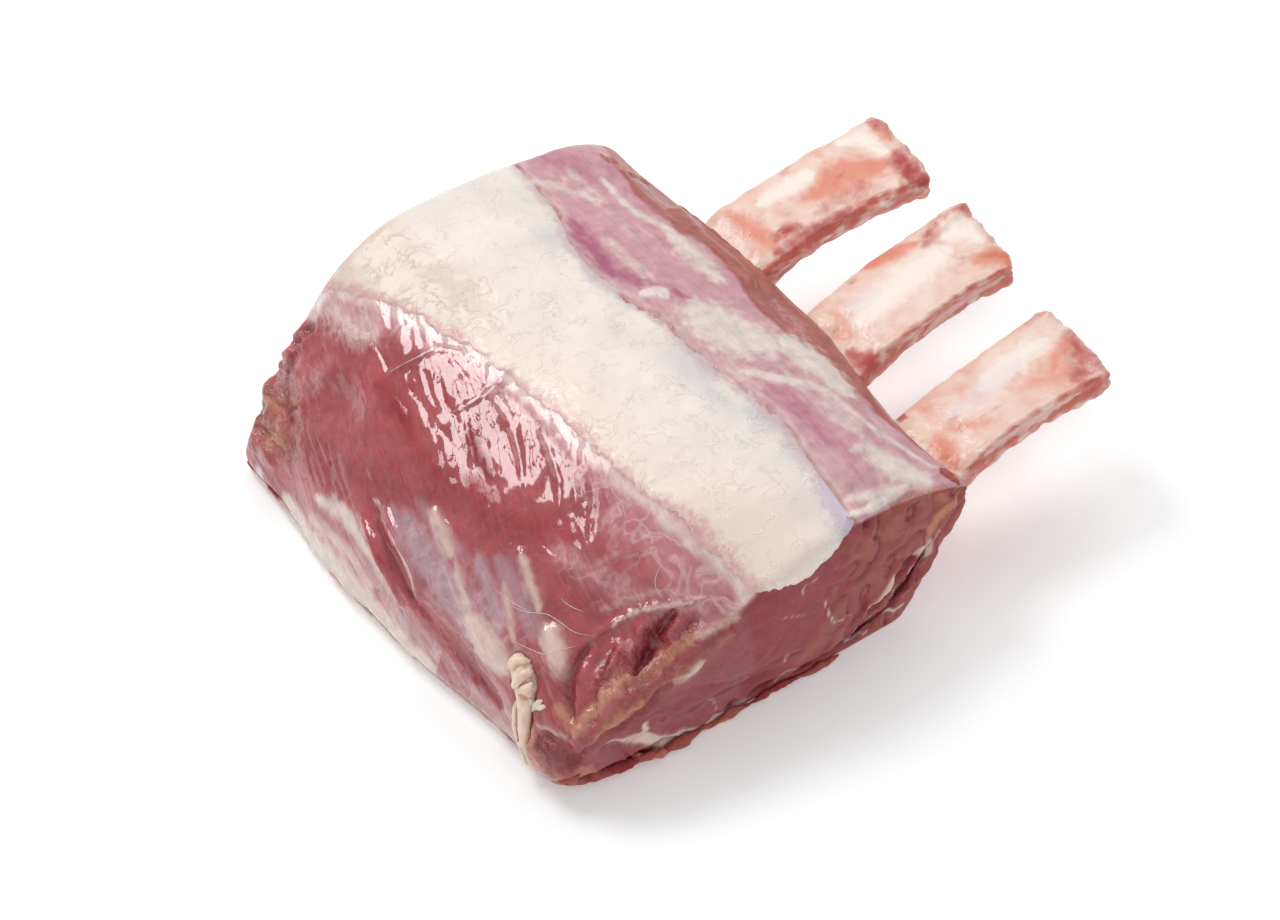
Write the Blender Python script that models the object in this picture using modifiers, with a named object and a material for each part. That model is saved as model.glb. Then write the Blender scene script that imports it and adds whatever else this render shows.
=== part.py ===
"""A frenched rack of veal with three ribs, lying on its rib side with the silverskin up.

X runs out along the frenched bones, Y along the spine and +Z up. The sawn end with the
eye of the loin faces -Y. The rack rests on z = 0, centred over the origin.
"""
import math

import bmesh
import bpy
from mathutils import Vector, noise

MM = 0.001

# Stations along the spine, from the near cut face to the far one.
NEAR_Y = -82 * MM
FORE_Y = -46 * MM
MIDDLE_Y = 20 * MM
FAR_Y = 101 * MM
STATIONS = (NEAR_Y, FORE_Y, MIDDLE_Y, FAR_Y)

# Named points of the cross-section in mm, (out, up), one pair for each station.
FOOT = ((-79, 0), (-86, 0), (-95, 0), (-93, 0))
CHINE_BULGE = ((-84, 13), (-87, 13), (-97, 14), (-93, 13))
CHINE_WALL = ((-78, 27), (-82, 33), (-88, 36), (-80, 34))
SHOULDER = ((-66, 42), (-69, 48), (-73, 53), (-67, 51))
RISE = ((-42, 55), (-42, 62), (-45, 67), (-47, 71))
CROWN = ((-6, 61), (-6, 69), (-6, 74), (-8, 76))
SLOPE = ((28, 61), (30, 67), (31, 69), (24, 71.5))
BROW = ((52, 57), (55, 59), (58, 60), (49, 64.5))
LIP = ((67, 51), (66, 50), (73, 49), (62, 52))
LIP_UNDER = ((67, 41), (65, 38), (70, 37), (61, 38))
FLANK = ((57, 25), (55, 22), (58, 20), (51, 20))
HEEL = ((44, 0), (44, 0), (44, 0), (40, 0))

# Cage of the rack: rows across, along and up, closer together beside the cut edges.
ROWS_OUT = (-0.86, -0.66, -0.44, -0.22, 0.0, 0.22, 0.44, 0.64, 0.80, 0.92)
ROWS_ALONG = (-0.955, -0.86, -0.72, -0.56, -0.38, -0.19, 0.0, 0.19, 0.38, 0.56, 0.74, 0.88, 0.96)
ROWS_UP = (-0.72, -0.36, 0.0, 0.36, 0.74)
FACE_SWELL = 3.5 * MM
NEAR_TRIM_LENGTH = 26 * MM
NEAR_TRIM_DEPTH = 11 * MM
NEAR_TRIM_OUT = (-70 * MM, -6 * MM)
NEAR_TRIM_FADE = 17 * MM
NEAR_CORNER_LEAN = 7 * MM
NEAR_CORNER_OUT = (-90 * MM, -50 * MM)
TORSION = 6 * MM
TORSION_OUT = 80 * MM

# Furrows between muscles: start, end, half width and depth, in mm.
FURROWS = (
    ((-74, -80, 36), (-36, -50, 60), 5.5, 5.0),
    ((-84, 92, 40), (-72, 56, 50), 6.5, 4.0),
    ((-92, 70, 12), (-88, -40, 20), 8.0, 3.0),
    ((62, 70, 55), (60, -60, 57), 7.0, 1.8),
    ((-60, -84, 14), (-10, -84, 12), 6.0, 3.0),
)
LUMP_SIZE = 21 * MM
LUMP_HEIGHT = 1.3 * MM

# Shallow dips between the ribs on the resting face: places along the spine, in mm.
UNDER_DIPS = (-84, -32, 21, 78)
UNDER_DIP_HALF = 18
UNDER_DIP_DEPTH = 1.6 * MM
UNDER_DIP_OUT = -24
UNDER_DIP_REACH = 46
UNDER_DIP_FADE = 24

# The seam between the loin and the bed of rib meat under it, in mm.
SEAM = ((-130, 5), (-60, 5), (8, 5), (24, 7.5), (37, 14), (47, 25), (56, 36), (63, 45), (90, 66))
SEAM_GAP = 0.3 * MM
CUTTER_LENGTH = 400 * MM
CUTTER_REACH = 150 * MM
CLEARANCE = 0.35 * MM

# Ribs, in mm: base and tip along the spine, how far they reach out, their width, how much
# higher their far edge lies, and how far the sawn tip slants.
RIBS = (
    {"base": 49, "tip": 51, "reach": 146, "width": 31.0, "lean": 3.0, "slant": 0.5},
    {"base": -7, "tip": 1, "reach": 142, "width": 32.0, "lean": 1.0, "slant": 2.2},
    {"base": -58, "tip": -54, "reach": 134.5, "width": 32.5, "lean": -1.0, "slant": 1.8},
)
RIB_START = -42
RIB_ARC = ((-42, 14), (0, 15), (32, 21.5), (62, 36), (84, 43.5), (110, 47), (150, 46.5))
RIB_THICK = 11.3
RIB_SWAY_START = 40
RIB_TIP_LENGTH = 26
RIB_TIP_THICKER = 0.12
RIB_ROOT_END = 74
RIB_ROOT_LENGTH = 22
RIB_ROOT_WIDER = 0.16
RIB_EDGE_THINNER = 0.16
RIB_ROWS_ALONG = 10
RIB_TIP_ROW = 0.93
RIB_ROWS_ACROSS = (-0.7, 0.7)
RIB_ROWS_UP = (0.0,)
RIB_FLARE = 0.13
RIB_ROUGHNESS = 0.7 * MM
RIB_ROUGHNESS_SIZE = 7 * MM

# The white silverskin: its two borders as (along, out) in mm, and its ends along the spine.
SILVERSKIN_CHINE = ((-90, -21), (-61, -22), (-38, -27), (0, -31), (34, -37), (67, -46), (104, -62))
SILVERSKIN_RIBS = ((-90, 23), (-68, 22), (-39, 24), (-13, 20), (13, 17), (54, 12), (70, 17), (109, 20))
SILVERSKIN_ENDS = (-79.5 * MM, 100 * MM)
SILVERSKIN_LEVEL = 0.5
SILVERSKIN_THICK = 1.2 * MM

# The cream ligament on the chine corner: points in mm and the cord's radius there.
LIGAMENT = (
    ((-77.0, -47.5, 36.0), 2.2),
    ((-78.4, -51, 33.5), 4.2),
    ((-79.8, -54.5, 30.5), 4.4),
    ((-81.8, -57.5, 26), 3.0),
    ((-83.8, -59.5, 20), 2.3),
    ((-85.2, -61.5, 13.5), 2.3),
    ((-85.4, -64, 8.5), 2.6),
    ((-84.8, -66.5, 5.2), 1.6),
)


def mm(point):
    """A point given in millimetres, in metres."""
    return Vector(point) * MM


def curve_through(knots, at):
    """The value at a place on the smooth curve through (place, value) knots."""
    last = len(knots) - 1
    at = min(max(at, knots[0][0]), knots[last][0])
    step = next(i for i in range(last) if at <= knots[i + 1][0])

    def slope(i):
        before, after = knots[max(i - 1, 0)], knots[min(i + 1, last)]
        return (after[1] - before[1]) / (after[0] - before[0])

    (x0, v0), (x1, v1) = knots[step], knots[step + 1]
    span = x1 - x0
    t = (at - x0) / span
    rise = (v1 - v0) * t * t * (3 - 2 * t)
    bend = slope(step) * span * t * (1 - t) ** 2 - slope(step + 1) * span * t * t * (1 - t)
    return v0 + rise + bend


def ease(t):
    """A smooth step from 0 to 1."""
    t = min(max(t, 0.0), 1.0)
    return t * t * (3 - 2 * t)


def section_point(named, along):
    """Where a named point of the cross-section lies at this place along the spine, in metres."""
    out = curve_through([(y, pair[0]) for y, pair in zip(STATIONS, named)], along)
    up = curve_through([(y, pair[1]) for y, pair in zip(STATIONS, named)], along)
    return Vector((out, up)) * MM


def side_of_section(names, share, along):
    """A point on the side of the section that runs through these named points."""
    points = [section_point(name, along) for name in names]
    lengths = [0.0]
    for before, after in zip(points, points[1:]):
        lengths.append(lengths[-1] + (after - before).length)
    at = share * lengths[-1]
    out = curve_through([(s, p.x) for s, p in zip(lengths, points)], at)
    up = curve_through([(s, p.y) for s, p in zip(lengths, points)], at)
    return Vector((out, up))


def place_in_section(across, up, along):
    """The section as a patch between its four sides; across and up run from 0 to 1."""
    bottom = side_of_section((FOOT, HEEL), across, along)
    top = side_of_section((SHOULDER, RISE, CROWN, SLOPE, BROW, LIP), across, along)
    chine = side_of_section((FOOT, CHINE_BULGE, CHINE_WALL, SHOULDER), up, along)
    ribs = side_of_section((HEEL, FLANK, LIP_UNDER, LIP), up, along)
    corners = (
        section_point(FOOT, along) * (1 - across) * (1 - up)
        + section_point(HEEL, along) * across * (1 - up)
        + section_point(SHOULDER, along) * (1 - across) * up
        + section_point(LIP, along) * across * up
    )
    return bottom * (1 - up) + top * up + chine * (1 - across) + ribs * across - corners


def distance_to_line(point, start, end):
    """How far a point is from a straight furrow."""
    line = end - start
    share = min(max((point - start).dot(line) / line.length_squared, 0.0), 1.0)
    return (point - start - line * share).length


def shape_rack(corner):
    """Moves a corner of the unit cage to its place on the rack."""
    across, along_share, up = corner.x, corner.y, corner.z
    along = (FAR_Y + NEAR_Y) / 2 + along_share * (FAR_Y - NEAR_Y) / 2
    flat = place_in_section((across + 1) / 2, (up + 1) / 2, along)
    swell = FACE_SWELL * abs(along_share) ** 3 * (1 - across ** 2) * (1 - up ** 2)
    place = Vector((flat.x, along + math.copysign(swell, along_share), flat.y))
    place.y += TORSION * (flat.x / TORSION_OUT) * max(along_share, 0.0) ** 2
    corner_start, corner_end = NEAR_CORNER_OUT
    lean = NEAR_CORNER_LEAN * ease((corner_end - flat.x) / (corner_end - corner_start))
    place.y += lean * (1 - up) / 2 * max(-along_share, 0.0) ** 6
    low, high = NEAR_TRIM_OUT
    inside = ease((flat.x - low) / NEAR_TRIM_FADE) * ease((high - flat.x) / NEAR_TRIM_FADE)
    close = ease((NEAR_Y + NEAR_TRIM_LENGTH - along) / NEAR_TRIM_LENGTH)
    place.z -= NEAR_TRIM_DEPTH * inside * close * max(up, 0.0) ** 2
    return place


def add_relief(mesh):
    """Presses the furrows in and raises low lumps, all but on the flat resting face."""
    mesh.normal_update()
    moved = []
    for vert in mesh.verts:
        height = LUMP_HEIGHT * noise.noise(vert.co / LUMP_SIZE)
        for start, end, half_width, depth in FURROWS:
            away = distance_to_line(vert.co, mm(start), mm(end)) / (half_width * MM)
            height -= depth * MM * math.exp(-away * away)
        dips = sum(ease(1 - abs(vert.co.y / MM - dip) / UNDER_DIP_HALF) for dip in UNDER_DIPS)
        inside = ease((UNDER_DIP_REACH - abs(vert.co.x / MM - UNDER_DIP_OUT)) / UNDER_DIP_FADE)
        under = ease((3 * MM - vert.co.z) / (3 * MM)) * inside
        lift = Vector((0, 0, UNDER_DIP_DEPTH * dips * under))
        moved.append(vert.normal * height * ease(vert.co.z / (6 * MM)) + lift)
    for vert, shift in zip(mesh.verts, moved):
        vert.co += shift


def cage(name, rows_out, rows_along, rows_up):
    """A cube of side 2, cut into rows of faces along its three axes."""
    bpy.ops.mesh.primitive_cube_add(size=2)
    obj = bpy.context.object
    obj.name = name
    obj.data.name = name
    mesh = bmesh.new()
    mesh.from_mesh(obj.data)
    directions = ((1, 0, 0), (0, 1, 0), (0, 0, 1))
    for direction, rows in zip(directions, (rows_out, rows_along, rows_up)):
        for row in rows:
            parts = mesh.verts[:] + mesh.edges[:] + mesh.faces[:]
            at = Vector(direction) * row
            bmesh.ops.bisect_plane(mesh, geom=parts, dist=1e-6, plane_co=at, plane_no=direction)
    return obj, mesh


def finish_cage(obj, mesh):
    """Writes the edited cage back to its object."""
    bmesh.ops.recalc_face_normals(mesh, faces=mesh.faces)
    mesh.to_mesh(obj.data)
    mesh.free()


def add_subdivision(obj, levels=1):
    """A live Subdivision Surface that shows the same in a render."""
    modifier = obj.modifiers.new("soft_form", "SUBSURF")
    modifier.levels = levels
    modifier.render_levels = levels


def apply_modifiers(obj):
    """Makes the object's evaluated mesh its own mesh."""
    graph = bpy.context.evaluated_depsgraph_get()
    graph.update()
    made = bpy.data.meshes.new_from_object(obj.evaluated_get(graph))
    obj.modifiers.clear()
    obj.data = made


def add_boolean(obj, cutter, operation):
    """A live Boolean with one other object."""
    modifier = obj.modifiers.new(cutter.name, "BOOLEAN")
    modifier.object = cutter
    modifier.operation = operation
    modifier.solver = "EXACT"


def make_rack_form():
    """The outer form of all the meat, before the seam and the ribs divide it."""
    obj, mesh = cage("loin", ROWS_OUT, ROWS_ALONG, ROWS_UP)
    for vert in mesh.verts:
        vert.co = shape_rack(vert.co)
    finish_cage(obj, mesh)
    add_subdivision(obj)
    apply_modifiers(obj)
    mesh = bmesh.new()
    mesh.from_mesh(obj.data)
    add_relief(mesh)
    for vert in mesh.verts:
        vert.co.z = max(vert.co.z, 0.0)
    finish_cage(obj, mesh)
    return obj


def make_block(name, columns, rows, place, reach):
    """A closed block: place() lays out its curved lower face, and its other face is flat at reach."""
    bpy.ops.mesh.primitive_grid_add(x_subdivisions=columns, y_subdivisions=rows, size=1)
    block = bpy.context.object
    block.name = name
    mesh = bmesh.new()
    mesh.from_mesh(block.data)
    for vert in mesh.verts:
        vert.co = place(vert.co.x + 0.5, vert.co.y + 0.5)
    far_side = bmesh.ops.extrude_face_region(mesh, geom=mesh.faces[:])
    for part in far_side["geom"]:
        if isinstance(part, bmesh.types.BMVert):
            part.co.z = reach
    finish_cage(block, mesh)
    return block


def make_seam_cutter(name, raised, reach):
    """A block bounded by the seam, reaching up or down from it."""
    low, high = SEAM[0][0], SEAM[-1][0]

    def place(across, along):
        out = low + (high - low) * across
        return Vector((out * MM, (along - 0.5) * CUTTER_LENGTH, curve_through(SEAM, out) * MM + raised))

    return make_block(name, 30, 1, place, reach)


def make_silverskin_outline():
    """An upright block with the silverskin's outline, seen from above."""
    start, end = SILVERSKIN_ENDS

    def place(across, along):
        y = start + (end - start) * along
        chine = curve_through(SILVERSKIN_CHINE, y / MM)
        ribs = curve_through(SILVERSKIN_RIBS, y / MM)
        return Vector(((chine + (ribs - chine) * across) * MM, y, 0))

    return make_block("silverskin_outline", 1, 22, place, CUTTER_REACH)


def rib_place(rib, out, side, height, spread):
    """A point on a rib: out in mm, side and height from -1 to 1, spread fattens it."""
    share = ease((out - RIB_SWAY_START) / (rib["reach"] - RIB_SWAY_START))
    middle = rib["base"] + (rib["tip"] - rib["base"]) * share
    tip_share = ease((out - rib["reach"] + RIB_TIP_LENGTH) / RIB_TIP_LENGTH)
    root_share = ease((RIB_ROOT_END - out) / RIB_ROOT_LENGTH)
    width = rib["width"] * (1 + RIB_FLARE * tip_share + RIB_ROOT_WIDER * root_share)
    thick = RIB_THICK * (1 + RIB_TIP_THICKER * tip_share)
    rise = (curve_through(RIB_ARC, out + 1) - curve_through(RIB_ARC, out - 1)) / 2
    arc = Vector((-rise, 0, 1)).normalized()
    rounding = 1 - RIB_EDGE_THINNER * abs(side) ** 3
    center = Vector((out, middle, curve_through(RIB_ARC, out)))
    sideways = Vector((0, side * (width / 2 + spread), 0))
    upwards = arc * (height * (thick / 2 * rounding + spread) + rib["lean"] * side * 0.5)
    return (center + sideways + upwards) * MM


def make_rib(name, rib, spread=0.0):
    """One rib, from inside the meat out to its sawn tip."""
    rows = [-1 + 2 * (i + 1) / RIB_ROWS_ALONG for i in range(RIB_ROWS_ALONG - 1)]
    obj, mesh = cage(name, rows + [RIB_TIP_ROW], RIB_ROWS_ACROSS, RIB_ROWS_UP)
    start = RIB_START - spread
    end = rib["reach"] + spread
    for vert in mesh.verts:
        out = start + (end - start) * (vert.co.x + 1) / 2
        out += rib["slant"] * vert.co.y * max(vert.co.x, 0.0) ** 6
        place = rib_place(rib, out, vert.co.y, vert.co.z, spread)
        if vert.co.x > 0.85:
            place += noise.noise_vector(place / RIB_ROUGHNESS_SIZE) * RIB_ROUGHNESS
        vert.co = place
    finish_cage(obj, mesh)
    add_subdivision(obj)
    return obj


def make_silverskin(rack_form):
    """The white membrane over the crown, lifted clear off the loin that it lies on."""
    obj = bpy.data.objects.new("silverskin", rack_form.data.copy())
    bpy.context.scene.collection.objects.link(obj)
    mesh = bmesh.new()
    mesh.from_mesh(obj.data)
    steep = [face for face in mesh.faces if face.normal.z < SILVERSKIN_LEVEL]
    bmesh.ops.delete(mesh, geom=steep, context="FACES")
    mesh.normal_update()
    for vert in mesh.verts:
        vert.co += vert.normal * (CLEARANCE + 0.1 * MM)
    mesh.to_mesh(obj.data)
    mesh.free()
    solidify = obj.modifiers.new("membrane", "SOLIDIFY")
    solidify.thickness = SILVERSKIN_THICK
    solidify.offset = 1.0
    outline = make_silverskin_outline()
    add_boolean(obj, outline, "INTERSECT")
    return obj, outline


def make_ligament(name, spread=0.0):
    """The cream cord of ligament with its knotted end, as a bevelled curve made a mesh."""
    data = bpy.data.curves.new(name, "CURVE")
    data.dimensions = "3D"
    data.bevel_depth = 1 * MM
    data.bevel_resolution = 2
    data.use_fill_caps = True
    spline = data.splines.new("POLY")
    count = 2 * len(LIGAMENT) - 1
    spline.points.add(count - 1)
    for i in range(count):
        at = i / 2
        place = [curve_through([(j, row[0][k]) for j, row in enumerate(LIGAMENT)], at) for k in range(3)]
        radius = curve_through([(j, row[1]) for j, row in enumerate(LIGAMENT)], at)
        spline.points[i].co = (*mm(place), 1)
        spline.points[i].radius = radius + spread
    curve = bpy.data.objects.new(name + "_curve", data)
    bpy.context.scene.collection.objects.link(curve)
    bpy.context.view_layer.update()
    graph = bpy.context.evaluated_depsgraph_get()
    made = bpy.data.meshes.new_from_object(curve.evaluated_get(graph))
    mesh = bmesh.new()
    mesh.from_mesh(made)
    bmesh.ops.remove_doubles(mesh, verts=mesh.verts, dist=0.02 * MM)
    mesh.to_mesh(made)
    mesh.free()
    obj = bpy.data.objects.new(name, made)
    bpy.context.scene.collection.objects.link(obj)
    bpy.data.objects.remove(curve)
    return obj


def material(name, color, roughness):
    """A plain Principled finish."""
    made = bpy.data.materials.new(name)
    made.use_nodes = True
    shader = made.node_tree.nodes["Principled BSDF"]
    shader.inputs["Base Color"].default_value = (*color, 1)
    shader.inputs["Roughness"].default_value = roughness
    return made


def centre_on_footprint(pieces, helpers):
    """Moves everything so that the pieces' box stands centred over the origin."""
    graph = bpy.context.evaluated_depsgraph_get()
    graph.update()
    corners = []
    for obj in pieces:
        made = obj.evaluated_get(graph)
        corners += [made.matrix_world @ Vector(corner) for corner in made.bound_box]
    low = [min(corner[i] for corner in corners) for i in range(3)]
    high = [max(corner[i] for corner in corners) for i in range(3)]
    shift = Vector((-(low[0] + high[0]) / 2, -(low[1] + high[1]) / 2, -low[2]))
    for obj in pieces + helpers:
        obj.location += shift


def gather(name, objects):
    """Moves these objects into a collection of their own."""
    group = bpy.data.collections.new(name)
    bpy.context.scene.collection.children.link(group)
    for obj in objects:
        for before in list(obj.users_collection):
            before.objects.unlink(obj)
        group.objects.link(obj)


def main():
    for obj in list(bpy.data.objects):
        bpy.data.objects.remove(obj)

    loin = make_rack_form()
    silverskin, outline = make_silverskin(loin)
    rib_bed = bpy.data.objects.new("rib_bed", loin.data.copy())
    bpy.context.scene.collection.objects.link(rib_bed)
    below_seam = make_seam_cutter("below_seam", SEAM_GAP / 2, -CUTTER_REACH)
    above_seam = make_seam_cutter("above_seam", -SEAM_GAP / 2, CUTTER_REACH)
    add_boolean(loin, below_seam, "DIFFERENCE")
    add_boolean(rib_bed, above_seam, "DIFFERENCE")
    cutters = [below_seam, above_seam, outline]

    ribs = []
    for number, rib in enumerate(RIBS, 1):
        ribs.append(make_rib(f"rib_bone_{number}", rib))
        channel = make_rib(f"rib_channel_{number}", rib, CLEARANCE / MM)
        for meat in (loin, rib_bed):
            add_boolean(meat, channel, "DIFFERENCE")
        cutters.append(channel)

    ligament = make_ligament("ligament")
    groove = make_ligament("ligament_groove", CLEARANCE / MM)
    for meat in (loin, rib_bed):
        add_boolean(meat, groove, "DIFFERENCE")
    cutters.append(groove)

    muscle = material("raw_veal", (0.42, 0.10, 0.11), 0.35)
    membrane = material("silverskin", (0.80, 0.74, 0.66), 0.35)
    bone = material("scraped_bone", (0.80, 0.56, 0.48), 0.4)
    fat = material("ligament_fat", (0.85, 0.72, 0.55), 0.4)
    finishes = [(loin, muscle), (rib_bed, muscle), (silverskin, membrane), (ligament, fat)]
    finishes += [(rib, bone) for rib in ribs]
    for obj, finish in finishes:
        obj.data.materials.clear()
        obj.data.materials.append(finish)
        obj.data.shade_smooth()
    pieces = [loin, rib_bed, silverskin, ligament] + ribs
    centre_on_footprint(pieces, cutters)
    gather("frenched_rack", pieces)
    gather("cutters", cutters)
    for cutter in cutters:
        cutter.hide_render = True
        cutter.display_type = "WIRE"


main()
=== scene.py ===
"""The looks of a raw frenched rack of veal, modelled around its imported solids."""

import math

import bmesh
import bpy
import numpy as np
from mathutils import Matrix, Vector
from mathutils.bvhtree import BVHTree


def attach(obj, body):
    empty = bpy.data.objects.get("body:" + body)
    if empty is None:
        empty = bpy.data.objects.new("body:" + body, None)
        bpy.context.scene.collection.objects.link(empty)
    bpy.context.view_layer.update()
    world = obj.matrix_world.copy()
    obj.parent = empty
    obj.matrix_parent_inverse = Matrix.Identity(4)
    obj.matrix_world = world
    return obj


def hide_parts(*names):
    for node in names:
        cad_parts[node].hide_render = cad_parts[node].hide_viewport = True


bl_info = {
    "name": "Frenched Rack of Veal",
    "version": (1, 0, 0),
    "blender": (4, 5, 0),
    "location": "3D View > Sidebar > Rack",
    "description": "Dresses the solids of a frenched rack with wet muscle, silverskin, ligament and bone",
    "category": "Add Mesh",
}

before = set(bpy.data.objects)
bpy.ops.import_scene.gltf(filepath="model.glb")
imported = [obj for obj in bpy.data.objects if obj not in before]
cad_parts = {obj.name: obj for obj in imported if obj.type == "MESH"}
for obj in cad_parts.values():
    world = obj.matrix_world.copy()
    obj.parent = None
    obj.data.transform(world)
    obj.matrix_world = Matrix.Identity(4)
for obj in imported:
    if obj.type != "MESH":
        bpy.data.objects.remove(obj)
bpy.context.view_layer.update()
MM = 0.001

# The photograph's frame and the camera that took it.
PHOTO_WIDTH = 1280
PHOTO_HEIGHT = 920
SENSOR_WIDTH = 36.0
FOCAL_LENGTH = 88.6
CAMERA_AZIMUTH = math.radians(-35)
CAMERA_ELEVATION = math.radians(48)
CAMERA_DISTANCE = 1.0
CAMERA_AIM = Vector((-25.5, -10.1, 30)) * MM

# Softboxes: name, share of the key's power, width and height in m, direction and distance from the rack.
LIGHTS = (
    ("key_softbox", 0.68, (0.45, 0.38), (-0.20, 0.50, 0.84), 1.1),
    ("top_softbox", 0.38, (0.7, 0.7), (0.45, 0.35, 0.82), 1.1),
    ("front_fill", 0.3, (1.3, 1.0), (-0.55, -0.75, 0.55), 1.6),
)

# The side of the square floor, in m.
FLOOR_SIZE = 6

# The silverskin's two borders, in mm: (along the spine, out).
BAND_CHINE = ((-100, -42), (-86, -43), (-71, -46), (-48, -52), (-10, -56), (24, -62), (57, -71), (94, -87))
BAND_RIBS = ((-100, -3), (-78, -3), (-49, -1), (-23, -5), (3, -8), (44, -13), (60, -8), (99, -5))

# The border of the dried rib-side rim, in the same form.
RIM_LINE = ((-100, 44), (-60, 36), (0, 27), (23, 29), (40, 26), (56, 24), (71, 26), (96, 33))

# The silverskin sheet: its ends along the spine, grid, and heights in mm.
SHEET_NEAR = -100.0
SHEET_FAR = 91.5
SHEET_COLUMNS = 96
SHEET_ROWS = 240
SHEET_MARGIN = 7.0
SHEET_RISE = 0.4
SHEET_SINK = 1.6
SHEET_THICK = 1.6

# The height from which the sheet is dropped, a height near the crown, and the sheet's smoothing rounds.
SHEET_DROP = 200
SHEET_LEVEL = 50
SHEET_NORMAL_ROUNDS = 6
SHEET_HEIGHT_ROUNDS = 2

# Where the sheet turns down over the near cut: the turn's place along the spine, its radius, and how far out
# the sheet is laid from, in mm.
TURN_AT = -84.0
TURN_RADIUS = 10.0
TURN_REACH = 60

# Folds, furrows and lumps of the meat: half width and height in mm, then places in the photograph.
MEAT_RELIEF = (
    (1.6, 1.2, ((596, 633), (619, 622), (635, 612), (662, 606), (683, 604), (704, 600))),
    (2.0, -2.6, ((572, 718), (569, 700), (570, 680), (577, 664), (590, 646))),
    (3.2, 1.5, ((600, 694), (610, 670), (622, 648))),
    (1.6, 1.4, ((617, 622), (619, 640), (617, 656), (606, 676))),
    (2.2, -3.4, ((634, 674), (646, 654), (658, 634), (674, 612))),
    (1.6, 1.4, ((630, 660), (634, 644), (641, 628))),
    (1.6, 1.4, (
        (575, 735), (590, 714), (609, 696), (635, 677), (656, 662), (677, 648), (698, 633), (740, 617),
    )),
    (2.2, 1.3, ((590, 744), (612, 722), (640, 700), (664, 682), (688, 670), (702, 660))),
    (1.4, -2.4, ((583, 754), (604, 733), (626, 724), (648, 706), (664, 688), (684, 678))),
    (2.8, -2.2, ((545, 735), (560, 750), (580, 764))), (4.0, 1.8, ((534, 748), (545, 768), (562, 778))),
    (2.0, -2.0, ((604, 748), (616, 744), (628, 756))), (1.8, 1.3, ((622, 742), (630, 754), (640, 758))),
    (1.8, -1.5, ((640, 750), (664, 744), (700, 726))),
    (1.8, 1.0, ((617, 738), (646, 728), (677, 732), (709, 716))),
    (3.0, -1.3, ((297, 424), (289, 408), (282, 390))), (2.0, -1.1, ((318, 384), (300, 396), (288, 404))),
    (3.0, 1.2, ((330, 372), (310, 386), (300, 400))), (2.0, -1.6, ((254, 424), (268, 440), (280, 452))),
    (4.0, 2.4, ((266, 378), (272, 388), (268, 398))), (2.6, 1.5, ((296, 346), (280, 364), (270, 378))),
    (3.5, 1.8, ((254, 436), (262, 446), (272, 462))), (2.2, -1.8, ((316, 312), (306, 330), (298, 344))),
    (2.0, 1.0, ((330, 292), (322, 308), (318, 320))),
    (2.6, -1.6, ((371, 509), (380, 537), (400, 572), (412, 600))),
    (1.4, 1.3, ((362, 520), (380, 562), (404, 604))),
    (1.4, 1.3, ((386, 508), (400, 540), (416, 570), (420, 600))),
    (4.2, 1.2, ((433, 512), (452, 550), (462, 590), (486, 650), (505, 668))),
    (2.5, 0.8, ((522, 553), (536, 597), (542, 614))), (4.0, 1.2, ((546, 633), (560, 674))),
    (3.0, -1.4, ((417, 602), (455, 640), (500, 706))), (3.0, 1.0, ((640, 296), (668, 292), (676, 300))),
    (0.8, -0.6, ((373, 340), (383, 356), (389, 372))), (0.8, -0.4, ((393, 376), (398, 396), (410, 412))),
    (0.8, -0.35, ((425, 372), (430, 390), (436, 404))), (0.9, -0.45, ((466, 424), (472, 446), (474, 468))),
    (0.9, -0.4, ((492, 396), (508, 420), (520, 452), (522, 480))),
    (0.8, -0.4, ((540, 430), (556, 470), (560, 520))), (0.8, -0.4, ((580, 452), (592, 490), (590, 540))),
    (0.8, -0.35, ((452, 360), (468, 380), (486, 388))),
    (0.9, 0.4, ((392, 372), (414, 360), (436, 350), (462, 353))),
    (0.9, 0.4, ((456, 412), (480, 398), (500, 384))),
    (2.2, -3.0, ((852, 634), (872, 608), (892, 590), (908, 566), (920, 552))),
    (2.0, 1.2, ((848, 628), (870, 604), (898, 578), (906, 566))),
    (1.6, 1.0, ((880, 600), (905, 590), (925, 572), (936, 550))),
    (1.8, -1.5, ((668, 746), (720, 724), (780, 692), (840, 656))),
    (1.2, -0.7, ((690, 690), (740, 680), (780, 660), (800, 650))),
    (1.2, -0.9, ((868, 520), (862, 540), (858, 556), (872, 566), (896, 566))),
    (1.2, -0.8, ((876, 540), (890, 546), (902, 536))),
    (1.0, -0.7, ((890, 500), (905, 520), (925, 520), (938, 510))),
    (1.4, -1.0, ((930, 490), (938, 502), (932, 524), (926, 540))),
    (1.6, 1.2, ((940, 486), (952, 500), (944, 516), (936, 534))),
    (5.0, 2.2, ((676, 212), (700, 234), (724, 258), (748, 282))),
    (1.3, 0.9, ((846, 520), (868, 512), (888, 500), (908, 486))),
    (2.4, -1.4, ((880, 508), (896, 500), (912, 496))),
)

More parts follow.
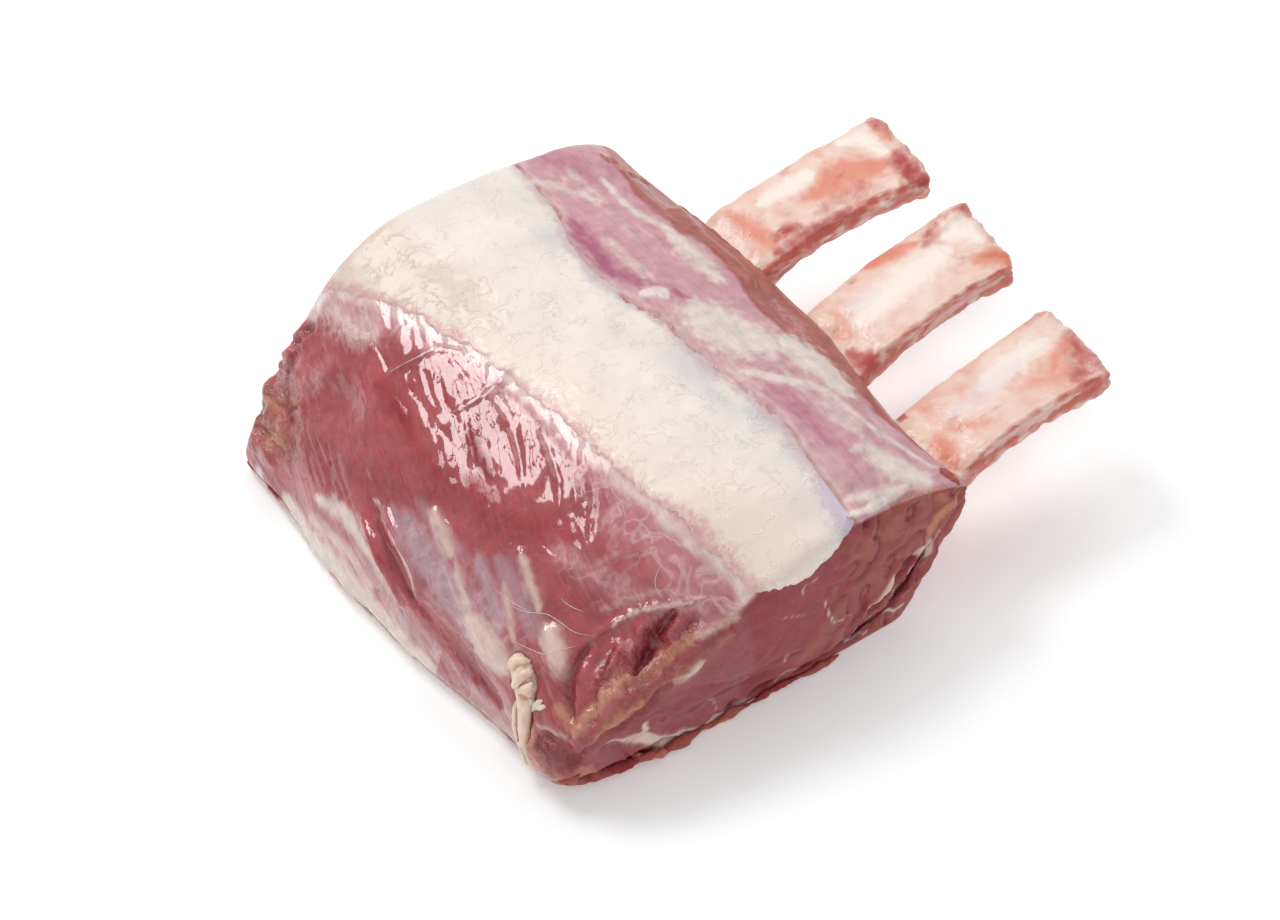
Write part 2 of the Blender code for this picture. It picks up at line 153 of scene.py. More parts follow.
# Colours of the meat, in the order in which they cover one another: attribute, colour, grain size in mm
# (three numbers follow the fibres), raggedness, and the attribute's values where it begins and is full.
MEAT_LAYERS = (
    ("pink", "#C8979F", (1.6, 14, 1), 0.5, 0.3, 0.8),
    ("rim", "#A9625A", (1.2, 10, 1), 0.4, 0.3, 0.9),
    ("cut", "#98444A", 1.2, 0.3, 0.2, 0.8),
    ("magenta", "#AC5E7A", (2.2, 9, 1), 0.7, 0.15, 1.0),
    ("film", "#BF7F83", (1.8, 12, 1), 0.7, 0.1, 1.1),
    ("brown", "#A45D50", 3.0, 0.6, 0.15, 1.0),
    ("orange", "#C27F64", 2.5, 0.7, 0.2, 0.9),
    # The deep red layer: darker muscle, and also painted shade along grooves, crevices and hollows.
    ("dark", "#84242B", (1.2, 8, 1), 0.6, 0.2, 1.0),
    ("lavender", "#B79AA6", (2.4, 12, 1), 0.6, 0.1, 1.2),
    ("veil", "#DECDC8", 3.0, 0.95, 0.1, 1.0),
    ("white", "#DFCBC5", (1.6, 9, 1), 0.8, 0.1, 1.1),
    ("fat", "#DCC2B4", (2.4, 9, 1), 0.6, 0.1, 1.1),
)
SILVERSKIN_LAYERS = (
    ("warm", "#F1DDD0", 7.0, 0.7, 0.3, 1.2),
    # The dull slope colour is painted shade on the membrane's far, chine-side slope.
    ("slope", "#DCCABC", 9.0, 0.3, 0.1, 1.0),
    ("cool", "#CCC7CA", 9.0, 0.5, 0.1, 1.0),
    ("rib_edge", "#CDB2B8", 2.6, 0.8, 0.35, 1.2),
    ("chine_edge", "#D29E9C", 1.8, 0.9, 0.35, 1.3),
    ("corner", "#CDBECB", 2.0, 0.5, 0.3, 0.9),
)
LIGAMENT_LAYERS = (("hollow", "#CF9480", 1.5, 0.6, 0.3, 1.0),)

# The fine filaments in the film over the muscle, and the duller colour in the clouds of the pale tissues.
FILAMENT_COLOUR = "#E3C6C4"
SILVERSKIN_DULL = "#E6DACF"
BONE_DULL = "#E3B5A4"
LIGAMENT_DULL = "#E5C5AE"

# How deep light scatters in flesh, in m.
SCATTER = 0.003

# The usual range of a noise, which is spread over a range of tones.
NOISE_LOW = 0.3
NOISE_HIGH = 0.7

# Cell sizes in mm of the pieces' skins, and how often each skin and its normals are smoothed.
MEAT_SKIN = (1.1, 4, 6)
BONE_SKIN = (0.9, 2, 4)
LIGAMENT_SKIN = (0.45, 3, 0)

# How far out in mm the ribs fill their channels in the loin.
FILLER_OUT = 16

# Where the sawn faces begin and are complete, in mm along the spine.
NEAR_CUT = (-70, -82)
FAR_CUT = (75, 86)

# How far above the floor the lowest points stay, in mm.
FLOOR_GAP = 0.02

# Paint on the meat, in the order of the brush: attribute, then strokes, each with its half width in mm,
# strength and places in the photograph. "bare" takes COVERS off the red muscle again, "torn" says how ragged
# the surface is, and "dry" where no film of moisture lies.
MEAT_PAINT = (
    ("film", (
        (6.0, 0.5, ((330, 356), (318, 376), (306, 396))), (5.0, 0.6, ((300, 358), (286, 376), (276, 396))),
        (11.0, 0.6, ((320, 530), (370, 590), (430, 646), (480, 690))),
        (10.0, 0.55, ((410, 530), (450, 580), (490, 630), (530, 660))),
        (6.0, 0.35, ((306, 480), (330, 520), (352, 552))), (7.0, 0.6, ((560, 548), (600, 580), (640, 590))),
        (5.0, 0.85, ((640, 480), (670, 508), (700, 540), (728, 576))),
        (6.0, 0.4, ((600, 470), (640, 510), (690, 560))),
    )),
    ("fat", (
        (3.4, 0.8, ((435, 512), (446, 536), (454, 556))), (2.0, 0.75, ((458, 562), (464, 590), (472, 618))),
        (6.0, 1.0, ((470, 620), (488, 646), (508, 670))), (2.2, 0.7, ((504, 584), (508, 612), (514, 642))),
        (2.2, 0.75, ((522, 556), (532, 586), (540, 612))), (4.4, 1.0, ((548, 630), (556, 652), (566, 676))),
        (1.0, 0.8, ((380, 520), (397, 547), (411, 575), (416, 596))),
        (0.8, 0.7, ((420, 604), (452, 642), (478, 672), (505, 710))),
        (0.8, 0.6, ((428, 620), (446, 650), (470, 690))), (3.0, 0.75, ((364, 548), (384, 580), (400, 602))),
        (3.0, 0.7, ((330, 556), (377, 612), (424, 656))), (5.0, 0.75, ((312, 516), (344, 552), (370, 584))),
    )),
    ("lavender", (
        (9.0, 0.85, ((404, 520), (436, 570), (470, 620), (500, 664))),
        (5.0, 0.6, ((392, 508), (410, 540), (426, 570))), (6.0, 0.7, ((500, 560), (520, 600), (540, 640))),
        (5.0, 0.8, ((478, 560), (492, 596), (500, 630))), (4.0, 0.6, ((418, 500), (440, 530), (470, 560))),
        (4.0, 0.5, ((350, 530), (376, 580), (410, 622))), (2.2, 0.6, ((574, 664), (584, 650), (594, 636))),
        (2.0, 0.8, ((636, 654), (640, 664))),
    )),
    ("white", (
        (6.0, 1.1, ((286, 500), (326, 556), (374, 610), (424, 660), (482, 712), (507, 740))),
        (4.0, 0.9, ((318, 498), (346, 520), (366, 552))), (2.4, 1.1, ((256, 468), (275, 505), (300, 540))),
        (4.0, 1.0, ((330, 292), (318, 306), (310, 316))), (7.0, 0.7, ((330, 310), (360, 330), (376, 332))),
        (0.7, 0.8, ((372, 498), (380, 504))), (1.8, 0.4, ((560, 560), (590, 566), (620, 552))),
        (2.0, 0.4, ((600, 610), (640, 596), (680, 590))),
    )),
    ("bare", (
        (3.2, 1.0, ((410, 596), (440, 634), (470, 668), (498, 704))),
        (2.6, 1.0, ((370, 512), (386, 550), (402, 580), (412, 600))),
        (9.0, 0.8, ((376, 386), (400, 420), (420, 450), (440, 480))),
        (8.0, 0.8, ((340, 390), (350, 420), (366, 450))), (5.0, 0.9, ((600, 690), (640, 650), (690, 618))),
        (7.0, 1.0, ((536, 728), (548, 752), (566, 774))), (4.0, 0.8, ((570, 690), (578, 668), (596, 648))),
    )),
    # Deep red strokes: the broad ones are darker muscle; the narrow ones along grooves, slits, crevices and
    # folds are painted shade.
    ("dark", (
        (13.0, 0.5, ((400, 360), (460, 400), (540, 450), (600, 500))),
        (13.0, 0.5, ((290, 436), (350, 470), (420, 500))),
        (9.0, 0.55, ((420, 460), (470, 500), (520, 540))), (6.0, 0.6, ((376, 386), (396, 404), (410, 430))),
        (3.4, 0.8, ((468, 430), (476, 456), (492, 476))), (0.8, 0.6, ((373, 340), (383, 356), (389, 372))),
        (0.7, 0.45, ((425, 372), (430, 390), (436, 404))),
        (0.7, 0.5, ((492, 396), (508, 420), (520, 452), (522, 480))),
        (0.7, 0.45, ((540, 430), (556, 470), (560, 520))),
        (0.7, 0.45, ((580, 452), (592, 490), (590, 540))),
        (2.6, 1.0, ((374, 520), (386, 550), (402, 580), (410, 598))),
        (3.0, 0.55, ((410, 596), (440, 634), (470, 668), (498, 704))),
        (4.0, 0.6, ((714, 612), (724, 604), (734, 598))), (2.4, 0.45, ((297, 424), (289, 408), (282, 390))),
        (3.0, 0.7, ((314, 318), (304, 334))),
        (1.8, 1.1, ((852, 634), (872, 608), (892, 590), (908, 566), (920, 552))),
        (1.2, 0.8, ((664, 746), (720, 724), (780, 692), (840, 656))),
        (9.0, 0.75, ((640, 724), (700, 702), (760, 676))),
        (1.8, 0.9, ((300, 346), (290, 372), (284, 400), (290, 420))),
        (1.4, 0.8, ((268, 388), (280, 404), (296, 408))),
        (5.0, 0.6, ((626, 692), (646, 668), (668, 644), (698, 620))),
        (1.6, 0.9, ((596, 700), (602, 676), (614, 650))), (3.0, 0.75, ((640, 640), (655, 628), (672, 616))),
        (1.8, 0.9, ((572, 718), (569, 700), (570, 680), (577, 664), (590, 646))),
        (2.6, 1.2, ((634, 674), (646, 654), (658, 634), (674, 612))),
        (1.2, 0.7, ((583, 754), (604, 733), (626, 724), (648, 706), (664, 688), (684, 678))),
        (6.0, 0.95, ((540, 742), (554, 756), (578, 766))), (1.4, 0.7, ((604, 748), (616, 744), (628, 756))),
        (2.4, 1.0, ((872, 622), (892, 602), (908, 578), (916, 560))),
    )),
    ("brown", (
        (8.0, 0.9, ((258, 424), (280, 440), (302, 450))), (5.0, 0.6, ((300, 380), (292, 400), (286, 420))),
        (6.0, 0.8, ((534, 726), (546, 752), (562, 774))), (3.0, 0.9, ((600, 156), (624, 170), (650, 182))),
        (4.0, 0.8, ((268, 384), (276, 398), (274, 412))), (3.0, 0.8, ((300, 316), (286, 340), (276, 360))),
        (4.0, 0.7, ((608, 716), (636, 704), (656, 688))), (5.0, 0.8, ((846, 600), (820, 640), (800, 660))),
        (9.0, 0.75, ((860, 560), (886, 530), (926, 505))), (5.0, 0.8, ((706, 232), (730, 252), (756, 280))),
        (4.0, 0.8, ((612, 726), (640, 704), (668, 682), (700, 660), (730, 636))),
    )),
    ("orange", (
        (3.0, 0.8, ((262, 394), (278, 404), (296, 402))), (1.8, 0.8, ((258, 418), (268, 436), (284, 448))),
        (4.0, 0.6, ((532, 722), (536, 748), (548, 770))), (3.0, 0.6, ((548, 776), (576, 776), (604, 768))),
        (3.0, 0.7, ((556, 706), (566, 716), (574, 728))), (4.0, 0.6, ((575, 772), (612, 768), (640, 756))),
        (1.8, 0.8, ((596, 152), (612, 164), (640, 174))), (4.0, 0.5, ((900, 500), (930, 490), (946, 500))),
        (1.4, 0.8, ((254, 410), (262, 430), (270, 446))),
        (3.0, 0.9, ((575, 735), (590, 714), (609, 696), (635, 677), (656, 662), (677, 648), (698, 633))),
        (1.8, 0.7, ((698, 633), (719, 627), (740, 617))), (2.2, 0.8, ((590, 744), (612, 722), (640, 700))),
        (2.4, 0.9, ((938, 470), (952, 478), (960, 488))),
        (1.8, 0.9, ((962, 490), (948, 504), (936, 522), (928, 540))),
    )),
    ("magenta", (
        (7.0, 1.0, ((570, 222), (588, 250), (610, 274))), (4.0, 0.8, ((606, 268), (640, 282), (690, 300))),
        (2.6, 0.9, ((742, 340), (756, 352), (768, 356))), (5.0, 0.6, ((790, 404), (816, 428), (836, 446))),
        (4.0, 0.6, ((740, 384), (756, 398), (772, 416))), (5.0, 0.5, ((650, 320), (640, 306), (660, 312))),
        (8.0, 0.55, ((540, 156), (570, 164), (590, 180))),
    )),
    ("veil", (
        (2.6, 0.8, ((603, 180), (631, 208), (672, 234), (704, 262), (726, 284))),
        (11.0, 1.25, ((696, 312), (730, 330), (766, 344))),
        (5.0, 0.9, ((670, 236), (694, 256), (716, 280))), (8.0, 1.25, ((786, 340), (816, 364), (846, 392))),
        (3.0, 0.9, ((740, 370), (784, 380), (830, 392))), (2.6, 1.2, ((642, 296), (656, 292), (666, 298))),
        (6.0, 1.1, ((872, 452), (900, 472), (926, 480))),
        (2.4, 0.8, ((822, 388), (860, 420), (900, 448), (936, 470))),
        (3.0, 0.7, ((530, 180), (560, 186), (600, 200))), (1.4, 0.9, ((696, 358), (740, 392), (790, 436))),
        (3.0, 0.7, ((852, 452), (868, 446), (884, 456))), (2.6, 0.8, ((846, 500), (880, 494), (906, 486))),
        (1.5, 1.3, ((846, 516), (868, 510), (886, 500), (906, 488))),
    )),
    ("film", ((5.0, 0.6, ((774, 300), (790, 320), (806, 344))),)),
    ("white", (
        (0.9, 0.8, ((612, 626), (630, 614), (650, 609), (672, 605), (690, 603))),
        (1.0, 0.9, ((884, 612), (896, 610), (904, 604))), (0.8, 0.8, ((846, 642), (856, 636), (868, 634))),
    )),
    ("fat", (
        (2.6, 1.1, ((676, 680), (688, 673), (701, 661))),
        (2.6, 1.4, ((610, 742), (636, 736), (662, 740), (688, 728))),
        (1.2, 1.2, ((660, 738), (690, 730), (720, 714), (748, 704))), (1.3, 1.2, ((640, 736), (646, 722))),
        (2.0, 1.5, ((862, 616), (880, 596), (902, 570))), (1.8, 1.5, ((918, 556), (925, 550), (930, 540))),
        (0.6, 0.8, ((640, 672), (652, 662), (662, 655))), (1.8, 0.6, ((694, 638), (712, 629), (740, 614))),
        (1.3, 0.6, ((538, 724), (552, 732), (566, 738))),
        (0.55, 0.9, ((826, 602), (830, 616), (836, 622), (850, 614))),
        (0.5, 0.7, ((804, 596), (806, 586), (818, 580))), (0.6, 0.7, ((784, 662), (790, 654), (800, 650))),
        (0.6, 0.7, ((774, 682), (786, 672), (800, 668))), (0.6, 0.6, ((706, 700), (714, 702), (716, 710))),
        (0.5, 0.6, ((780, 620), (800, 616), (812, 616))), (2.4, 1.0, ((850, 650), (838, 656), (832, 664))),
    )),
    ("torn", (
        (9.0, 1.0, ((600, 700), (640, 660), (700, 622))),
        (6.0, 0.9, ((572, 738), (620, 710), (670, 676), (740, 618))),
        (8.0, 0.9, ((536, 730), (550, 756), (580, 770))),
        (3.5, 0.9, ((620, 764), (680, 740), (740, 706), (800, 680), (840, 656))),
        (5.0, 0.8, ((850, 630), (880, 604), (910, 566), (930, 530))),
        (8.0, 1.0, ((258, 400), (270, 430), (290, 450))), (4.0, 0.8, ((936, 470), (952, 484), (960, 500))),
        (3.0, 0.8, ((600, 156), (624, 170), (650, 182))), (4.0, 1.0, ((320, 320), (350, 336), (372, 346))),
        (6.0, 0.9, ((304, 330), (278, 368), (264, 400), (254, 446))),
        (5.0, 0.7, ((540, 744), (570, 770), (620, 764))), (6.0, 0.6, ((262, 440), (290, 440), (300, 420))),
    )),
    ("dry", (
        (9.0, 0.9, ((590, 470), (620, 500), (656, 530), (700, 560))),
        (5.0, 0.7, ((470, 480), (520, 520), (580, 540))),
        (3.0, 0.9, ((376, 376), (392, 400), (412, 436), (440, 476))),
        (4.0, 0.5, ((416, 448), (440, 470), (456, 492))), (2.0, 0.9, ((470, 432), (478, 456), (492, 480))),
        (1.6, 0.9, ((494, 384), (520, 400), (548, 428), (572, 460))),
    )),
)

COVERS = ("film", "white", "veil", "lavender", "fat", "brown")

# Lumps and hollows, layers and paint of the bones, in the same forms as for the meat.
BONE_RELIEF = (
    (3.0, 0.8, ((886, 150), (905, 170))), (2.2, 1.2, ((890, 196), (904, 188), (900, 176))),
    (3.0, 1.3, ((924, 244), (936, 230), (952, 214), (968, 206))), (2.5, 0.9, ((985, 215), (1008, 240))),
    (2.0, 1.0, ((960, 256), (990, 252), (1012, 258))), (2.0, 0.8, ((1040, 312), (1062, 318))),
    (2.6, 1.0, ((1075, 325), (1098, 352))), (2.2, 0.8, ((975, 352), (1000, 338))),
    (1.6, 1.2, ((982, 452), (1010, 428), (1050, 402), (1080, 386))),
    (2.2, -0.9, ((986, 457), (1030, 425), (1094, 388))), (2.2, -0.9, ((900, 350), (950, 310), (1005, 278))),
    (1.6, 1.2, ((880, 350), (920, 322), (960, 292), (1000, 272))), (2.6, -1.0, ((1068, 352), (1090, 372))),
    (3.0, -0.9, ((900, 165), (925, 185))), (2.0, 0.9, ((780, 228), (800, 226), (806, 232))),
    (3.4, 0.7, ((814, 318), (830, 326))), (3.4, 0.7, ((908, 432), (924, 440))),
)
BONE_LAYERS = (
    ("orange", "#DC8468", 5.0, 0.6, 0.1, 1.0),
    ("pale", "#F1E3D8", (1.2, 6, 1), 0.5, 0.3, 1.0),
    ("lilac", "#E3D5D8", 3.0, 0.6, 0.4, 1.1),
    ("side", "#C65E4F", (1.4, 5, 1), 0.9, 0.25, 0.9),
    ("red", "#B94A46", 3.0, 0.7, 0.3, 1.2),
    ("marrow", "#CF8474", 1.6, 0.6, 0.3, 0.8),
    ("stripe", "#DFB0A6", 2.0, 0.5, 0.35, 0.8),
    ("gristle", "#E6C6B0", 2.0, 0.3, 0.35, 0.6),
)
BONE_PAINT = (
    ("orange", ((8.0, 1.0, ((806, 196), (840, 176), (880, 165))),)),
    ("red", ((5.0, 0.75, ((816, 214), (846, 196), (870, 184))),)),
    ("orange", (
        (5.0, 0.8, ((730, 215), (760, 235), (775, 250))), (4.0, 0.8, ((866, 120), (890, 138))),
    )),
    ("red", (
        (6.5, 1.2, ((895, 155), (912, 172), (930, 180))), (3.6, 1.0, ((776, 240), (784, 232), (800, 226))),
        (3.4, 0.9, ((775, 254), (800, 236), (850, 208))),
    )),
    ("pale", (
        (5.0, 1.0, ((760, 204), (790, 186), (810, 174))), (4.5, 1.0, ((838, 142), (862, 140), (884, 152))),
        (2.0, 0.9, ((880, 204), (892, 196))),
    )),
    ("red", ((4.0, 1.1, ((922, 248), (934, 232), (950, 216), (968, 208))),)),
    ("orange", (
        (4.0, 1.1, ((846, 276), (880, 260), (914, 244))),
        (5.0, 0.9, ((976, 262), (1000, 256), (1014, 268))),
        (4.0, 0.5, ((930, 262), (950, 250), (960, 240))),
    )),
    ("pale", (
        (8.0, 1.0, ((860, 320), (900, 285), (945, 250))), (6.0, 1.0, ((946, 236), (962, 228), (980, 240))),
    )),
    ("lilac", ((5.0, 0.8, ((850, 310), (880, 290))),)),
    ("red", ((4.0, 1.2, ((850, 352), (862, 360), (876, 356))),)),
    ("stripe", ((1.3, 1.1, ((925, 334), (950, 312), (1006, 278))),)),
    ("red", ((6.0, 1.0, ((1074, 344), (1088, 364), (1074, 380))),)),
    ("orange", ((4.0, 0.9, ((1052, 372), (1058, 352), (1072, 338))),)),
    ("pale", ((7.0, 0.9, ((985, 385), (1015, 358), (1045, 340))),)),
    ("lilac", ((6.0, 0.8, ((950, 412), (980, 392), (1020, 360))),)),
    ("red", ((1.0, 0.6, ((960, 432), (990, 412), (1006, 402))),)),
    ("orange", (
        (5.0, 0.9, ((935, 440), (945, 452), (955, 465))), (3.0, 0.6, ((945, 432), (970, 425), (990, 420))),
    )),
    ("stripe", ((1.5, 1.2, ((986, 455), (1030, 424), (1080, 394))),)),
    ("red", ((3.0, 1.1, ((888, 408), (905, 404), (900, 420))),)),
    ("gristle", (
        (3.6, 1.0, ((814, 318), (830, 326))), (3.6, 1.0, ((908, 432), (924, 440))),
    )),
)

# How far in mm a scrap may stand out past the rack's outline.
OVERHANG = 0.8

# The stretch in m along a line of sight, and its steps, in which the rack's outline is looked for.
PASSING = (0.85, 1.15, 76)

# Steps between two places of a line; points around a strand, its fewest steps, its first seed, and how
# strongly it takes its attribute's colour.
LINE_STEPS = 4
STRAND_AROUND = 12
STRAND_STEPS = 10
STRAND_SEED = 100
STRAND_PAINT = 0.6

# How far a stroke reaches in half widths, how quickly it fades, and how uneven its edge is.
STROKE_REACH = 2.2
STROKE_FALL = 0.9
STROKE_WOBBLE = 0.45

# The size in mm of a new grid.
GRID_SIZE = 1000

# Scraps and strands: half width, half thickness and lift in mm, then places in the photograph. Scraps of meat
# begin with the attribute that colours them.
MEAT_SCRAPS = (
    ("brown", 3.0, 1.4, 0.0, ((556, 783), (580, 778), (600, 772), (622, 764))),
    ("dark", 1.8, 1.2, 0.2, ((590, 776), (616, 768), (640, 760))),
    ("brown", 2.2, 1.4, 0.1, ((626, 764), (660, 752), (680, 742), (704, 728))),
    ("orange", 1.4, 0.9, 0.4, ((650, 756), (664, 752), (678, 744))),
    ("brown", 2.0, 1.3, 0.1, ((696, 732), (724, 716), (752, 704))),
    ("orange", 1.5, 0.9, 0.4, ((716, 722), (730, 714), (742, 704))),
    ("dark", 1.4, 1.0, 0.0, ((748, 704), (780, 690), (804, 676))),
    ("brown", 1.7, 1.2, 0.1, ((796, 680), (820, 668), (840, 655))),
    ("brown", 2.2, 0.8, 0.1, ((940, 468), (950, 476), (960, 484))),
)
FILM_HAIRS = (
    (0.11, 0.1, 0.05, ((384, 376), (400, 366), (420, 356), (444, 346), (462, 352))),
    (0.10, 0.1, 0.05, ((452, 412), (470, 404), (486, 392), (500, 378), (512, 366))),
    (0.09, 0.09, 0.05, ((610, 474), (612, 490), (622, 504), (626, 520))),
    (0.11, 0.1, 0.1, ((508, 604), (526, 612), (546, 614), (560, 622), (574, 632), (592, 636))),
    (0.11, 0.1, 0.1, ((512, 640), (528, 648), (544, 654), (560, 650), (576, 646))),
    (0.09, 0.09, 0.1, ((496, 590), (512, 602), (530, 612))),
    (0.09, 0.09, 0.05, ((664, 560), (656, 576), (656, 588), (664, 600))),
    (0.09, 0.09, 0.05, ((560, 598), (570, 606), (584, 612))),
)
LIGAMENT_STRANDS = (
    (1.9, 1.3, 0.3, ((508, 670), (516, 661), (531, 661))),
    (1.6, 1.2, 0.5, ((512, 688), (521, 677), (534, 671))),
    (1.3, 1.0, 0.5, ((517, 692), (526, 688), (534, 682))),
    (1.3, 1.0, 0.2, ((528, 698), (537, 706), (546, 707))),
    (1.0, 0.8, 0.4, ((532, 712), (538, 704), (543, 700))),
    (1.0, 0.7, 0.0, ((516, 700), (514, 724), (520, 748), (527, 766))),
)


def rgb(code):
    """A colour given as sRGB hex, in Blender's linear values."""
    parts = [int(code[i:i + 2], 16) / 255 for i in (1, 3, 5)]
    return tuple(part / 12.92 if part <= 0.04045 else ((part + 0.055) / 1.055) ** 2.4 for part in parts)


def curve_through(knots, at):
    """Values on the smooth curve through (place, value) knots, for an array of places."""
    places = np.array([knot[0] for knot in knots], float)
    values = np.array([knot[1] for knot in knots], float)
    slopes = np.gradient(values, places)
    at = np.clip(at, places[0], places[-1])
    step = np.clip(np.searchsorted(places, at, side="right") - 1, 0, len(places) - 2)
    span = places[step + 1] - places[step]
    t = (at - places[step]) / span
    rise = (values[step + 1] - values[step]) * t * t * (3 - 2 * t)
    leaving = slopes[step] * span * t * (1 - t) ** 2
    arriving = slopes[step + 1] * span * t * t * (1 - t)
    return values[step] + rise + leaving - arriving


def ease(low, high, value):
    """A smooth step from 0 at low to 1 at high."""
    t = np.clip((value - low) / (high - low), 0, 1)
    return t * t * (3 - 2 * t)


def bell(value, width):
    """1 at 0, falling away on both sides within this width."""
    return np.exp(-(value / width) ** 2)


def lattice(cell, seed):
    """A fixed random value from -1 to 1 for each whole-number cell."""
    cell = cell.astype(np.int64)
    mixed = cell[:, 0] * 73856093 ^ cell[:, 1] * 19349663 ^ cell[:, 2] * 83492791 ^ (seed * 2654435761)
    mixed = (mixed ^ (mixed >> 13)) * 1274126177 & 0xFFFFFFFF
    mixed = (mixed ^ (mixed >> 16)) & 0xFFFF
    return mixed / 32767.5 - 1


def grain(places, size, seed, octaves=1):
    """Smooth random relief from -1 to 1 with features of this size; places and size in mm."""
    total = np.zeros(len(places))
    weight = 1.0
    for octave in range(octaves):
        scaled = places * (2 ** octave) / np.array(size)
        cell = np.floor(scaled)
        t = scaled - cell
        t = t * t * (3 - 2 * t)
        value = np.zeros(len(places))
        for corner in range(8):
            step = np.array([corner & 1, corner >> 1 & 1, corner >> 2])
            share = np.prod(np.where(step, t, 1 - t), axis=1)
            value += share * lattice(cell + step, seed + octave)
        total += value * weight
        weight /= 2
    return total / (2 - 2 * weight)


def crease(places, size, seed, width):
    """1 along a net of thin lines with meshes of this size, 0 between them."""
    return np.clip(1 - np.abs(grain(places, size, seed, 2)) / width, 0, 1) ** 2


def deselect_all():
    """Nothing stays selected."""
    bpy.ops.object.select_all(action="DESELECT")


def activate(obj):
    """Makes this the only selected and the active object."""
    deselect_all()
    obj.select_set(True)
    bpy.context.view_layer.objects.active = obj


def apply_modifier(obj, kind, **settings):
    """Adds a modifier and applies it."""
    activate(obj)
    modifier = obj.modifiers.new(kind.lower(), kind)
    for name, value in settings.items():
        setattr(modifier, name, value)
    bpy.ops.object.modifier_apply(modifier=modifier.name)


def edit_mesh(obj, operator, **settings):
    """Runs one edit-mode operator on all of an object's mesh."""
    activate(obj)
    bpy.ops.object.mode_set(mode="EDIT")
    bpy.ops.mesh.select_all(action="SELECT")
    operator(**settings)
    bpy.ops.object.mode_set(mode="OBJECT")


def solid_copy(name, node):
    """A merged copy of a CAD node's mesh, as a new object with no material."""
    obj = bpy.data.objects.new(name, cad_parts[node].data.copy())
    bpy.context.scene.collection.objects.link(obj)
    obj.data.materials.clear()
    edit_mesh(obj, bpy.ops.mesh.remove_doubles, threshold=0.01 * MM)
    return obj


def soften(obj, levels):
    """Turns the solid's flat triangles into an even rounded skin."""
    flat, square = math.radians(40), math.radians(60)
    edit_mesh(obj, bpy.ops.mesh.tris_convert_to_quads, face_threshold=flat, shape_threshold=square)
    apply_modifier(obj, "SUBSURF", levels=levels, render_levels=levels)


def join(obj, others):
    """Joins other objects into this one."""
    deselect_all()
    for other in others:
        other.select_set(True)
    obj.select_set(True)
    bpy.context.view_layer.objects.active = obj
    bpy.ops.object.join()


def read_places(obj):
    """The mesh's points in mm and their normals."""
    count = len(obj.data.vertices)
    places = np.empty(count * 3)
    obj.data.vertices.foreach_get("co", places)
    normals = np.empty(count * 3, np.float32)
    obj.data.vertex_normals.foreach_get("vector", normals)
    return places.reshape(-1, 3) / MM, normals.reshape(-1, 3).astype(float)


def write_places(obj, places):
    """Moves the mesh's points to these places in mm, none of them below the floor."""
    places = places.copy()
    places[:, 2] = np.maximum(places[:, 2], FLOOR_GAP)
    obj.data.vertices.foreach_set("co", (places * MM).ravel())
    obj.data.update()


def smooth_values(obj, values, rounds):
    """Averages each point's value with those of its neighbours."""
    edges = np.empty(len(obj.data.edges) * 2, np.int32)
    obj.data.edges.foreach_get("vertices", edges)
    first, second = edges.reshape(-1, 2).T
    count = np.bincount(edges, minlength=len(values))[:, None]
    for _ in range(rounds):
        total = np.empty_like(values)
        for i in range(values.shape[1]):
            total[:, i] = np.bincount(first, values[second, i], len(values))
            total[:, i] += np.bincount(second, values[first, i], len(values))
        values = (values + total / np.maximum(count, 1)) / 2
    return values


def unit(vectors):
    """Vectors of length 1."""
    return vectors / np.maximum(np.linalg.norm(vectors, axis=1), 1e-6)[:, None]


def sight_line(x, y):
    """The camera's place and the direction in which it sees a place in the photograph."""
    azimuth, elevation = CAMERA_AZIMUTH, CAMERA_ELEVATION
    level = math.cos(elevation)
    back = Vector((math.sin(azimuth) * level, -math.cos(azimuth) * level, math.sin(elevation)))
    right = Vector((math.cos(azimuth), math.sin(azimuth), 0))
    up = back.cross(right)
    pixel = SENSOR_WIDTH / PHOTO_WIDTH / FOCAL_LENGTH
    direction = right * (x - PHOTO_WIDTH / 2) * pixel - up * (y - PHOTO_HEIGHT / 2) * pixel - back
    return CAMERA_AIM + back * CAMERA_DISTANCE, direction.normalized()


def smooth_line(points):
    """More points on a smooth curve through these."""
    points = np.array(points, float)
    knots = np.arange(len(points))
    fine = np.linspace(0, len(points) - 1, (len(points) - 1) * LINE_STEPS + 1)
    return np.stack([curve_through(list(zip(knots, values)), fine) for values in points.T], 1)


def beside(tree, start, direction):
    """Where a line of sight that misses a surface passes it most closely, and the surface's normal there."""
    passed = [start + direction * float(step) for step in np.linspace(*PASSING)]
    found = [tree.find_nearest(place) for place in passed]
    best = min(range(len(found)), key=lambda i: found[i][3])
    surface, normal, _, gap = found[best]
    return surface.lerp(passed[best], min(1, OVERHANG * MM / max(gap, 1e-6))), normal


def line_on(tree, points, past_outline=False):
    """A line laid on a surface: its points in mm and the surface's normals there."""
    line, outward = [], []
    for point in smooth_line(points):
        sight = sight_line(*point)
        place, normal, _, _ = tree.ray_cast(*sight)
        if place is None and past_outline:
            place, normal = beside(tree, *sight)
        if place is not None:
            line.append(np.array(place) / MM)
            outward.append(np.array(normal))
    return line, outward


